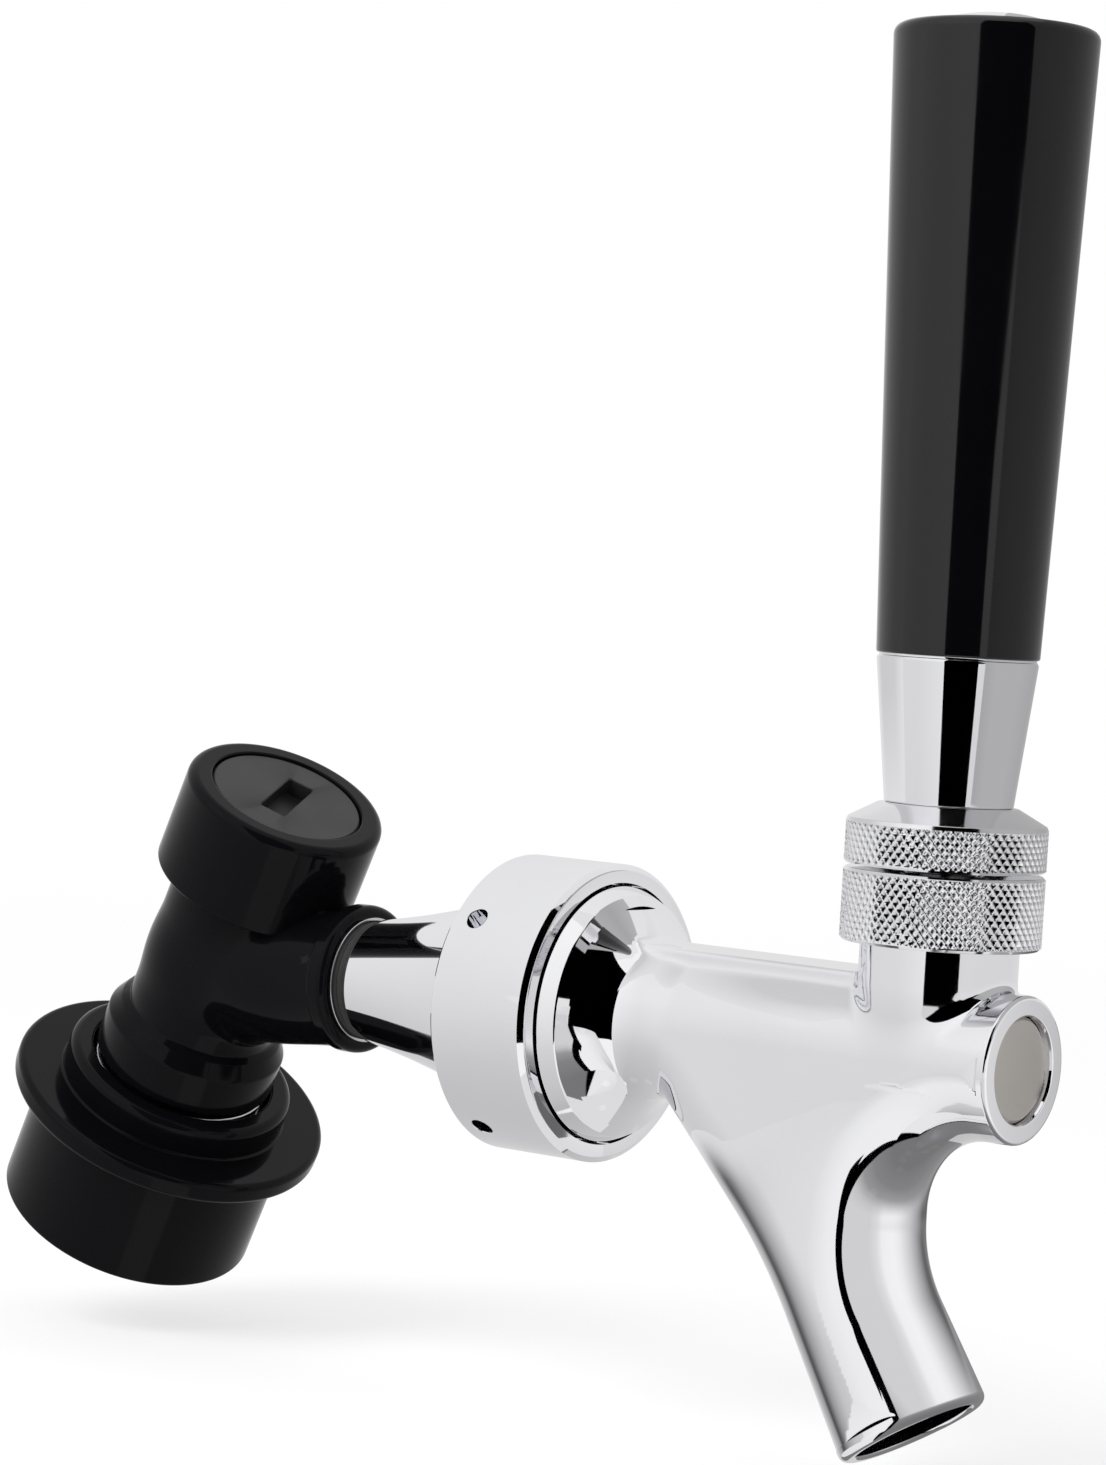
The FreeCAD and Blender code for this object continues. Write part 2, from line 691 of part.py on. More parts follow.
def valve_group():
    """Shaft that the lever's tip pushes back, with its front seal and rear seat washer."""
    head = "(chamber_radius - running_gap)"
    front = "(-boss_reach + shaft_recess)"
    groove = f"({front} + seal_setback)"
    seat = "(seat_back + washer_gap)"
    nut_front = f"({seat} + seat_washer_length)"
    tail = f"({nut_front} + seat_nut_length + shaft_tail)"
    shaft = turned("valve_shaft", [
        ("0", front),
        (f"{head} - edge_chamfer", front),
        (head, f"{front} + edge_chamfer"),
        (head, f"{groove} - seal_wire - groove_play"),
        (f"{head} - 2 * seal_wire", f"{groove} - seal_wire - groove_play"),
        (f"{head} - 2 * seal_wire", f"{groove} + seal_wire + groove_play"),
        (head, f"{groove} + seal_wire + groove_play"),
        (head, "shaft_head_back"),
        ("shaft_rod_radius", "shaft_head_back"),
        ("shaft_rod_radius", "guide_front"),
        (head, "guide_front"),
        (head, "guide_front + guide_length"),
        ("shaft_rod_radius", "guide_front + guide_length"),
        ("shaft_rod_radius", tail),
        ("0", tail),
    ], barrel_frame)
    play = "(tip_radius + 2 * running_gap)"
    side = "(tip_radius + swing_gap)"
    pocket(shaft, "tip_slot", "XZ_Plane", "0",
           box_outline(f"-{side}", side, f"-{play}", play), "3 * chamber_radius", both=True)
    pocket(shaft, "swing_slot", "XZ_Plane", "slot_floor",
           box_outline(f"-{side}", side, f"-{play} * 2", play), "2 * chamber_radius", away=True)
    pocket(shaft, "ball_flat", "XZ_Plane", "pivot_height - ball_radius - swing_gap",
           box_outline("-chamber_radius", "chamber_radius",
                       "-1.25 * (ball_radius + swing_gap)", "shaft_head_back + overshoot"),
           "chamber_radius", away=True)

    def guide_outline(sketch):
        circle_outline("0", "0", "2 * chamber_radius")(sketch)
        box_outline("-guide_flat", "guide_flat", "-guide_flat", "guide_flat")(sketch)
    pocket(shaft, "guide_flats", "XY_Plane", "guide_front", guide_outline, "guide_length",
           away=True)
    pieces.append(shaft)
    pieces.append(ring("shaft_oring", f"{head} - seal_wire", "seal_wire", groove, barrel_frame))
    washer("seat_washer", "shaft_rod_radius", "seat_washer_radius", seat, nut_front, barrel_frame)
    hexagon = doc.addObject("Part::Prism", "seat_nut_hexagon")
    hexagon.Polygon = 6
    bind(hexagon, Circumradius="seat_nut_radius", Height="seat_nut_length")
    hole = primitive("Cylinder", "seat_nut_hole", Radius="shaft_rod_radius",
                     Height="seat_nut_length")
    nut = cut("seat_nut", hexagon, hole)
    nut.Placement = barrel_frame * Placement(Vector(0, 0, size(nut_front)), Rotation())
    pieces.append(nut)


def coupling_group():
    """Nut that draws the body onto the adapter, its split ring, and the washer between them."""
    rear = "(nut_front + nut_length)"
    web_back = "(nut_web_front + nut_web_thickness)"
    nut = turned("coupling_nut", [
        ("nut_mouth_radius", "nut_front"),
        ("nut_radius - nut_chamfer", "nut_front"),
        ("nut_radius", "nut_front + nut_chamfer"),
        ("nut_radius", f"{rear} - nut_chamfer"),
        ("nut_radius - nut_chamfer", rear),
        ("nut_thread_radius + nut_chamfer / 2", rear),
        ("nut_thread_radius", f"{rear} - nut_chamfer / 2"),
        ("nut_thread_radius", web_back),
        ("spigot_radius + washer_gap", web_back),
        ("spigot_radius + washer_gap", "nut_web_front"),
        ("nut_mouth_radius", "nut_web_front"),
    ], barrel_frame)
    hole = pocket(nut, "spanner_hole", "YZ_Plane", "0",
                  circle_outline("0", f"{rear} - spanner_hole_setback", "spanner_hole_radius"),
                  "nut_radius")
    pattern = nut.newObject("PartDesign::PolarPattern", "spanner_holes")
    pattern.Originals = [hole]
    pattern.Axis = (origin_plane(nut, "Z_Axis"), [""])
    pattern.Angle = 360
    pattern.Occurrences = 4
    nut.Tip = pattern
    nut.Placement = barrel_frame * Placement(
        Vector(), Rotation(Vector(0, 0, 1), size("spanner_hole_turn")))
    pieces.append(nut)
    ring_front = f"({web_back} + washer_gap)"
    inner = "(spigot_radius - snap_groove_depth + running_gap)"
    pieces.append(turned("split_ring", [
        (inner, ring_front),
        ("snap_ring_radius", ring_front),
        ("snap_ring_radius", f"{ring_front} + snap_ring_wire"),
        (inner, f"{ring_front} + snap_ring_wire"),
    ], barrel_frame, "360 - ring_opening"))
    washer("coupling_washer", "seat_bore_radius", "spigot_radius", "bell_back + spigot_length",
           "adapter_front", barrel_frame)


def adapter_group():
    """Flared tube with the coupling thread at its front and a socket for the arm's stub."""
    rear = "(nut_front + nut_length)"
    pieces.append(turned("adapter", [
        ("adapter_bore_radius", "adapter_front"),
        ("adapter_head_radius - edge_chamfer", "adapter_front"),
        ("adapter_head_radius", "adapter_front + edge_chamfer"),
        ("adapter_head_radius", rear),
        ("adapter_root_radius", rear, "adapter_sweep", 1),
        ("adapter_end_radius", "adapter_end - edge_chamfer"),
        ("adapter_end_radius - edge_chamfer", "adapter_end"),
        ("adapter_socket_radius", "adapter_end"),
        ("adapter_socket_radius", "adapter_socket_front"),
        ("adapter_bore_radius", "adapter_socket_front"),
    ], barrel_frame))
    washer("flare_washer", "flow_bore_radius", "stub_radius", "adapter_socket_front",
           "adapter_socket_front + flare_washer_thickness", barrel_frame)
    washer("face_seal", "stub_radius", "face_seal_radius", "adapter_end",
           "adapter_end + face_seal_thickness", barrel_frame)


def disconnect_body():
    """Moulded trunk, inclined arm with its flare stub, and the tube that takes the post."""
    spot = Placement(disconnect_centre, disconnect_turn)
    groove = "(tube_radius - clip_groove_depth)"
    trunk = turned("trunk", [
        ("0", "trunk_top"),
        ("trunk_radius", "trunk_top"),
        ("trunk_radius", "-trunk_shoulder", "boot_round", 1),
        ("boot_radius", "-trunk_shoulder - boot_crown"),
        ("boot_radius", "-boot_bottom"),
        ("tube_radius", "-boot_bottom"),
        ("tube_radius", "-ramp_bottom - washer_gap"),
        (groove, "-ramp_bottom - washer_gap"),
        (groove, "-ramp_bottom - 2 * washer_gap - clip_thickness"),
        ("tube_radius", "-ramp_bottom - 2 * washer_gap - clip_thickness"),
        ("tube_radius", "-tube_bottom"),
        ("0", "-tube_bottom"),
    ], spot)
    seat = "(adapter_end + face_seal_thickness)"
    flange = "(arm_face + arm_flange_length)"
    arm = turned("arm", [
        ("0", "disconnect_distance"),
        ("arm_radius", "disconnect_distance"),
        ("arm_radius", f"{flange} + edge_chamfer"),
        ("arm_flange_radius", flange),
        ("arm_flange_radius", "arm_face + arm_flange_round", "arm_flange_round", 1),
        ("arm_flange_radius - arm_flange_round", "arm_face"),
        ("arm_seat_radius", "arm_face"),
        ("arm_seat_radius", seat),
        ("stub_radius", seat),
        ("stub_radius", "stub_tip + stub_cone"),
        ("stub_tip_radius", "stub_tip"),
        ("0", "stub_tip"),
    ], Placement(Vector(), along_y))
    outside = joined("disconnect_outside", [trunk, arm])

    def drilled(name, low, high, radius):
        hole = primitive("Cylinder", name, Radius=radius, Height=f"{high} - ({low})")
        hole.Placement = spot * Placement(Vector(0, 0, size(low)), Rotation())
        return hole
    bores = [
        drilled("poppet_chamber", "-poppet_seat", "trunk_top + overshoot", "poppet_chamber_radius"),
        drilled("poppet_hole", "-post_bore_top - overshoot", "-poppet_seat + overshoot", "poppet_hole_radius"),
        drilled("post_bore", "-tube_bottom + mouth_length - overshoot", "-post_bore_top",
                "post_bore_radius"),
        drilled("post_mouth", "-tube_bottom - overshoot", "-tube_bottom + mouth_length",
                "mouth_radius"),
    ]
    flow = primitive("Cylinder", "flow_bore",
                     Placement(Vector(0, size("stub_tip - overshoot"), 0), along_y),
                     Radius="flow_bore_radius", Height="disconnect_distance - stub_tip + overshoot")
    bores.append(flow)
    for number in range(3):
        hole = primitive("Cylinder", f"ball_hole_{number + 1}",
                         Radius="lock_ball_radius + running_gap", Height="boot_radius")
        hole.Placement = spot * ball_spot(number, 0) * Placement(
            Vector(), Rotation(Vector(0, 1, 0), 90))
        bores.append(hole)
    body = cut("disconnect_body", outside, joined("disconnect_inside", bores))
    body.Placement = faucet_frame
    pieces.append(body)


def ball_spot(number, outward):
    """Place of a locking ball, in the disconnect's own frame, at a distance from its axis."""
    return Placement(Vector(0, 0, -size("lock_ball_height")),
                     Rotation(Vector(0, 0, 1), 90 + 120 * number)) * Placement(
                         Vector(outward, 0, 0), Rotation())


def disconnect_cap():
    """Cap of the disconnect, with the slotted plug that closes the poppet's chamber."""
    shell = turned("cap_shell", [
        ("trunk_radius + running_gap", "cap_shell_bottom"),
        ("cap_shell_radius", "cap_shell_bottom"),
        ("cap_shell_radius", "cap_shell_top"),
        ("trunk_radius + running_gap", "cap_shell_top"),
    ], Placement(disconnect_centre, disconnect_turn))
    finish_rims(shell, "Fillet", [("cap_shell_radius", "cap_shell_top")], "cap_shell_round")
    arm_room = primitive("Cylinder", "arm_room", Placement(Vector(0, size("arm_face"), 0), along_y),
                         Radius="arm_radius + running_gap", Height="disconnect_distance - arm_face")
    cap = cut("disconnect_cap", shell, arm_room)
    cap.Placement = faucet_frame
    pieces.append(cap)
    top = "(cap_shell_top - plug_sink)"
    low = f"({top} - plug_thickness)"
    stem = "(poppet_chamber_radius - running_gap)"
    groove = f"({low} - 3 * plug_oring_wire)"
    plug = turned("slot_plug", [
        ("0", top),
        ("plug_radius", top),
        ("plug_radius", low),
        (stem, low),
        (stem, f"{groove} + plug_oring_wire + groove_play"),
        (f"{stem} - 2 * plug_oring_wire", f"{groove} + plug_oring_wire + groove_play"),
        (f"{stem} - 2 * plug_oring_wire", f"{groove} - plug_oring_wire - groove_play"),
        (stem, f"{groove} - plug_oring_wire - groove_play"),
        (stem, f"{low} - plug_stem_length"),
        ("0", f"{low} - plug_stem_length"),
    ], disconnect_frame * Placement(Vector(), Rotation(Vector(0, 0, 1), size("slot_turn"))))
    pocket(plug, "screwdriver_slot", "XY_Plane", top,
           box_outline("-slot_length / 2", "slot_length / 2", "-slot_width / 2", "slot_width / 2"),
           "slot_depth")
    pieces.append(plug)
    pieces.append(ring("plug_oring", f"{stem} - plug_oring_wire", "plug_oring_wire", groove,
                       disconnect_frame))


def spring(label, coil_radius, low, high, turns, frame):
    """A coiled spring between two heights of its wire's centreline; the wire has eight flats."""
    coil = doc.addObject("Part::Helix", label + "_coil")
    bind(coil, Radius=coil_radius, Height=f"{high} - ({low})", Pitch=f"({high} - ({low})) / {turns}")
    wire = doc.addObject("Part::RegularPolygon", label + "_wire")
    wire.Polygon = 8
    bind(wire, Circumradius="spring_wire")
    wire.Placement = Placement(Vector(size(coil_radius), 0, 0), Rotation(Vector(1, 0, 0), 90))
    doc.recompute()
    body = doc.addObject("Part::Sweep", label)
    body.Sections = [wire]
    body.Spine = (coil, [])
    body.Solid = True
    body.Frenet = True
    body.Placement = frame * Placement(Vector(0, 0, size(low)), Rotation())
    pieces.append(body)


def poppet_group():
    """Poppet that the keg post lifts, its seal, and the spring that closes it."""
    seal_top = "(-poppet_seat + washer_gap + 2 * poppet_seal_wire)"
    head_top = f"({seal_top} + poppet_head_length)"
    neck = "(poppet_hole_radius - swing_gap)"
    pieces.append(turned("poppet", [
        ("0", "-poppet_pin_tip"),
        ("poppet_pin_radius", "-poppet_pin_tip"),
        ("poppet_pin_radius", "-poppet_seat - poppet_taper"),
        (neck, "-poppet_seat"),
        (neck, seal_top),
        ("poppet_head_radius", seal_top),
        ("poppet_head_radius", head_top),
        ("poppet_stem_radius", head_top),
        ("poppet_stem_radius", "poppet_stem_top"),
        ("0", "poppet_stem_top"),
    ], disconnect_frame))
    pieces.append(ring("poppet_oring", f"{neck} + poppet_seal_wire", "poppet_seal_wire",
                       f"{seal_top} - poppet_seal_wire", disconnect_frame))
    stem_end = "(cap_shell_top - plug_sink - plug_thickness - plug_stem_length)"
    spring("poppet_spring", "poppet_spring_radius", f"{head_top} + spring_wire",
           f"{stem_end} - spring_wire", "poppet_spring_turns", disconnect_frame)


def sleeve_group():
    """Locking sleeve with its spring, clip and balls."""
    flange_low = "(-flange_top - flange_thickness)"
    sleeve = turned("locking_sleeve", [
        ("sleeve_bore_radius", "-sleeve_top"),
        ("hub_radius", "-sleeve_top"),
        ("hub_radius", "-flange_top"),
        ("flange_radius", "-flange_top"),
        ("flange_radius", flange_low),
        ("skirt_radius", flange_low),
        ("skirt_radius", "-skirt_bottom"),
        ("clip_recess_radius", "-skirt_bottom"),
        ("clip_recess_radius", "-ramp_bottom"),
        ("ramp_foot", "-ramp_bottom"),
        ("ramp_head", "-ramp_top"),
        ("sleeve_step_radius", "-sleeve_step_bottom"),
        ("sleeve_step_radius", "-sleeve_step_top"),
        ("sleeve_bore_radius", "-sleeve_step_top"),
    ], disconnect_frame)
    finish_rims(sleeve, "Fillet", [("flange_radius", "-flange_top"),
                                   ("flange_radius", flange_low)], "flange_round")
    finish_rims(sleeve, "Fillet", [("hub_radius", "-sleeve_top")], "hub_round")
    pieces.append(sleeve)
    spring("sleeve_spring", "(tube_radius + sleeve_bore_radius) / 2",
           "-sleeve_step_top + spring_wire + washer_gap",
           "-boot_bottom - spring_wire - washer_gap", "sleeve_spring_turns", disconnect_frame)
    inner = "(tube_radius - clip_groove_depth + running_gap)"
    clip_top = "(-ramp_bottom - 1.5 * washer_gap)"
    pieces.append(turned("sleeve_clip", [
        (inner, clip_top),
        ("clip_radius", clip_top),
        ("clip_radius", f"{clip_top} - clip_thickness"),
        (inner, f"{clip_top} - clip_thickness"),
    ], disconnect_frame, "360 - ring_opening"))
    for number in range(3):
        ball = primitive("Sphere", f"locking_ball_{number + 1}", Radius="lock_ball_radius")
        ball.Placement = disconnect_frame * ball_spot(number, size("lock_ball_circle"))
        pieces.append(ball)


faucet_body()
bonnet_group()
lever_group()
valve_group()
coupling_group()
adapter_group()
disconnect_body()
disconnect_cap()
poppet_group()
sleeve_group()
doc.recompute()

faults = [item.Name for item in doc.Objects if {"Invalid", "Error"} & set(item.State)]
for piece in pieces:
    shape = piece.Shape
    if shape.isNull() or not shape.isValid() or len(shape.Solids) != 1:
        faults.append(piece.Label)
if faults:
    raise ValueError("failed: " + ", ".join(faults))
os.makedirs("parts", exist_ok=True)
for piece in pieces:
    piece.Shape.exportStep(f"parts/{piece.Label}.step")
print(len(pieces), "pieces written; origin at", [round(c, 4) for c in origin])
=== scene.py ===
import json
import math
import bmesh
import bpy
import numpy as np
from mathutils import Matrix, Vector


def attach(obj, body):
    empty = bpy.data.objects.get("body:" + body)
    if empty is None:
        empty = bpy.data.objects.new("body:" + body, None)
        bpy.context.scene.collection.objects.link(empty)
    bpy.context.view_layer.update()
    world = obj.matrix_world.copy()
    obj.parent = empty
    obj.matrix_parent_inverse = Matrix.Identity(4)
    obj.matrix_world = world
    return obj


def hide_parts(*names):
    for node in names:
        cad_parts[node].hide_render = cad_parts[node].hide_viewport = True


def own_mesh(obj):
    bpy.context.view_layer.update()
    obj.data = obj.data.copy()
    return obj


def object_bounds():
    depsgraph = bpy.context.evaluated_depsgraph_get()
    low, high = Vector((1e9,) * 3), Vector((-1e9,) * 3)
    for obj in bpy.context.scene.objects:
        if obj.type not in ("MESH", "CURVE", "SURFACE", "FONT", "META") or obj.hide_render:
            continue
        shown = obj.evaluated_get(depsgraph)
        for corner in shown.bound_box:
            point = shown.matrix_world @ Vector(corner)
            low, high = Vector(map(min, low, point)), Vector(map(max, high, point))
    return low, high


# Chrome beer faucet with a black handle, on a black keg disconnect.
# Sizes below are millimetres in the faucet's own frame: the lever's axis crosses the
# barrel's axis at its origin, +Z runs up the handle and -Y towards the drinker.

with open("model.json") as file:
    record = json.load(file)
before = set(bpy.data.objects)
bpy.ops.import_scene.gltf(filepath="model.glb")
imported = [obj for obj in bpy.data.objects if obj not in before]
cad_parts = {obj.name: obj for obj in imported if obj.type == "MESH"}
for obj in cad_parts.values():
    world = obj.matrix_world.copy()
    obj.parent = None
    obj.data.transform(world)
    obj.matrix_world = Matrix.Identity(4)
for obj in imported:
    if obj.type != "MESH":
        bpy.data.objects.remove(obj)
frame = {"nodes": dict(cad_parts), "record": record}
cadBox = [list(corner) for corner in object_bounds()]
print("frame loaded:", len(frame["nodes"]), "solids")

layout = {
    "faucetAt": (-4.9023, -133.6723, 36.258),  # faucet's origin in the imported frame
    "armLength": 114.3,
    "disconnectLean": 27.9,
    "disconnectRoll": -7.7,
}

faucetPlace = np.eye(4)
faucetPlace[:3, 3] = layout["faucetAt"]


def turnAbout(axis, degrees):
    return np.array(Matrix.Rotation(math.radians(degrees), 4, axis))


def shifted(x, y, z):
    place = np.eye(4)
    place[:3, 3] = (x, y, z)
    return place


barrelPlace = faucetPlace @ turnAbout("X", -90)  # local z runs along the barrel to the rear
disconnectPlace = (faucetPlace @ shifted(0, layout["armLength"], 0)
                   @ turnAbout("Y", layout["disconnectRoll"])
                   @ turnAbout("X", layout["disconnectLean"]))


def newPiece(name, surface, place):
    points, faces, normals = surface
    world = (np.asarray(points, float) @ place[:3, :3].T + place[:3, 3]) / 1000
    mesh = bpy.data.meshes.new(name)
    mesh.from_pydata(world.tolist(), [], faces)
    mesh.update()
    mesh.polygons.foreach_set("use_smooth", [True] * len(mesh.polygons))
    if normals is not None:
        turned = np.asarray(normals) @ place[:3, :3].T
        mesh.normals_split_custom_set(turned.tolist())
    piece = bpy.data.objects.new(name, mesh)
    bpy.context.scene.collection.objects.link(piece)
    return piece


def bulgedEdge(start, end, bulge, outward, steps):
    # points and normals from start to end; a positive bulge stands out of the solid
    chord = end - start
    length = np.linalg.norm(chord)
    flat = np.array([chord[1], -chord[0]]) / length * outward
    if abs(bulge) < 1e-9:
        return [(start, flat), (end, flat)]
    radius = (length ** 2 / 4 + bulge ** 2) / (2 * abs(bulge))
    side = math.copysign(1, bulge)
    centre = (start + end) / 2 + flat * (bulge - side * radius)
    first = math.atan2(*(start - centre)[::-1])
    sweep = (math.atan2(*(end - centre)[::-1]) - first + math.pi) % (2 * math.pi) - math.pi
    run = []
    for step in range(steps + 1):
        angle = first + sweep * step / steps
        spoke = np.array([math.cos(angle), math.sin(angle)])
        run.append((centre + spoke * radius, spoke * side))
    return run


def trimmed(run, distance):
    # the run without its first stretch of that length
    run = list(run)
    while len(run) > 2:
        step = np.linalg.norm(run[1][0] - run[0][0])
        if step > distance:
            break
        distance -= step
        run.pop(0)
    share = min(distance / max(np.linalg.norm(run[1][0] - run[0][0]), 1e-9), 0.95)
    spot = run[0][0] * (1 - share) + run[1][0] * share
    normal = run[0][1] * (1 - share) + run[1][1] * share
    return [(spot, normal / np.linalg.norm(normal))] + run[1:]


def outlineSegments(corners, closed, steps=14, roundSteps=5):
    # corners are (radius, height, rounding, bulge of the edge that follows)
    corners = [tuple(c) + (0,) * (4 - len(c)) for c in corners]
    spots = np.array([c[:2] for c in corners], float)
    ring = spots if closed else np.vstack([spots, [[0, spots[-1][1]], [0, spots[0][1]]]])
    following = np.roll(ring, -1, axis=0)
    area = np.sum(ring[:, 0] * following[:, 1] - following[:, 0] * ring[:, 1])
    outward = 1 if area > 0 else -1
    count = len(corners)
    edges = []
    for number in range(count if closed else count - 1):
        edges.append(bulgedEdge(spots[number], spots[(number + 1) % count],
                                corners[number][3], outward, steps))
    for number in range(len(edges)):
        following = (number + 1) % len(edges)
        if following == 0 and not closed:
            continue
        rounding = corners[(number + 1) % count][2]
        if rounding <= 0:
            continue
        before, after = edges[number][-1][1], edges[following][0][1]
        turn = math.acos(float(np.clip(before @ after, -1, 1)))
        if turn < 0.02:
            continue
        cut = rounding * math.tan(turn / 2)
        edges[number] = trimmed(edges[number][::-1], cut)[::-1]
        edges[following] = trimmed(edges[following], cut)
        start, before = edges[number][-1]
        end, after = edges[following][0]
        travel = edges[number][-1][0] - edges[number][-2][0]
        side = 1 if (after @ travel) > 0 else -1
        turn = math.acos(float(np.clip(before @ after, -1, 1)))
        arc = []
        for step in range(roundSteps + 1):
            share = step / roundSteps
            normal = (before * math.sin(turn * (1 - share)) + after * math.sin(turn * share))
            normal = normal / math.sin(turn)
            arc.append((start + (normal - before) * rounding * side, normal))
        miss = end - arc[-1][0]
        for step in range(1, roundSteps + 1):
            edges[number].append((arc[step][0] + miss * step / roundSteps, arc[step][1]))
    segments = []
    for run in edges:
        for (a, normalA), (b, normalB) in zip(run, run[1:]):
            if np.linalg.norm(b - a) > 1e-6:
                segments.append((a, b, normalA, normalB))
    return segments


def turnedSurface(corners, closed=True, around=160, leaveOut=None):
    # lathe-turned points, faces and exact shading, without the wall at the radius leaveOut
    segments = outlineSegments(corners, closed)
    spots = [segments[0][0]] + [s[1] for s in segments]
    if closed:
        spots.pop()
    angles = [2 * math.pi * step / around for step in range(around)]
    cosines, sines = np.cos(angles), np.sin(angles)
    points, starts = [], []
    for spot in spots:
        starts.append(len(points))
        if spot[0] < 1e-6:
            points.append((0, 0, spot[1]))
        else:
            points += [(spot[0] * c, spot[0] * s, spot[1]) for c, s in zip(cosines, sines)]

    def cornerAt(index, spot, normal, step):
        step %= around
        number = starts[index] + (0 if spot[0] < 1e-6 else step)
        return number, (normal[0] * cosines[step], normal[0] * sines[step], normal[1])

    faces, normals = [], []
    start, end, normal = segments[0][:3]
    outwardIsLeft = (end - start)[1] * normal[0] - (end - start)[0] * normal[1] > 0
    for index, (a, b, normalA, normalB) in enumerate(segments):
        if leaveOut and max(abs(a[0] - leaveOut), abs(b[0] - leaveOut)) < 0.02:
            continue
        after = (index + 1) % len(spots)
        for step in range(around):
            ring = [cornerAt(index, a, normalA, step), cornerAt(index, a, normalA, step + 1),
                    cornerAt(after, b, normalB, step + 1), cornerAt(after, b, normalB, step)]
            if not outwardIsLeft:
                ring.reverse()
            face = []
            for number, normal in ring:
                if number not in [f[0] for f in face]:
                    face.append((number, normal))
            if len(face) > 2:
                faces.append([f[0] for f in face])
                normals += [f[1] for f in face]
    return points, faces, normals


def turnedRuns(segments, around=160):
    # turns single runs of an outline, each with its own points
    angles = np.arange(around) * 2 * math.pi / around
    points, faces, normals = [], [], []
    for a, b, normalA, normalB in segments:
        travel = b - a
        left = (travel[1] * normalA[0] - travel[0] * normalA[1]) > 0
        base = len(points)
        for spot in (a, b):
            points += [(spot[0] * math.cos(t), spot[0] * math.sin(t), spot[1]) for t in angles]
        for step in range(around):
            after = (step + 1) % around
            face = [base + step, base + after, base + around + after, base + around + step]
            lean = [(normalA, step), (normalA, after), (normalB, after), (normalB, step)]
            if not left:
                face.reverse()
                lean.reverse()
            faces.append(face)
            normals += [(n[0] * math.cos(angles[k]), n[0] * math.sin(angles[k]), n[1])
                        for n, k in lean]
    return points, faces, normals


def placedSurface(surface, place):
    points, faces, normals = surface
    points = np.asarray(points, float) @ place[:3, :3].T + place[:3, 3]
    normals = np.asarray(normals, float) @ place[:3, :3].T
    return points.tolist(), faces, normals.tolist()


def together(*surfaces):
    # several (points, faces, normals) as one
    points, faces, normals = [], [], []
    for somePoints, someFaces, someNormals in surfaces:
        faces += [[number + len(points) for number in face] for face in someFaces]
        points += [tuple(p) for p in somePoints]
        normals += [tuple(n) for n in someNormals]
    return points, faces, normals


def flatNormals(points, faces):
    points = np.asarray(points, float)
    normals = []
    for face in faces:
        ring = points[face]
        normal = np.cross(ring[1] - ring[0], ring[2] - ring[0])
        if len(face) > 3:
            normal = normal + np.cross(ring[2] - ring[0], ring[3] - ring[0])
        normal = normal / max(np.linalg.norm(normal), 1e-12)
        normals += [tuple(normal)] * len(face)
    return normals


def strung(loops, capped=False):
    # flat-shaded faces between closed loops of equal count
    count = len(loops[0])
    points = [tuple(p) for loop in loops for p in loop]
    faces = []
    for level in range(len(loops) - 1):
        for step in range(count):
            after = (step + 1) % count
            faces.append([level * count + step, level * count + after,
                          (level + 1) * count + after, (level + 1) * count + step])
    if capped:
        faces.append(list(range(count))[::-1])
        faces.append([(len(loops) - 1) * count + step for step in range(count)])
    return points, faces, flatNormals(points, faces)


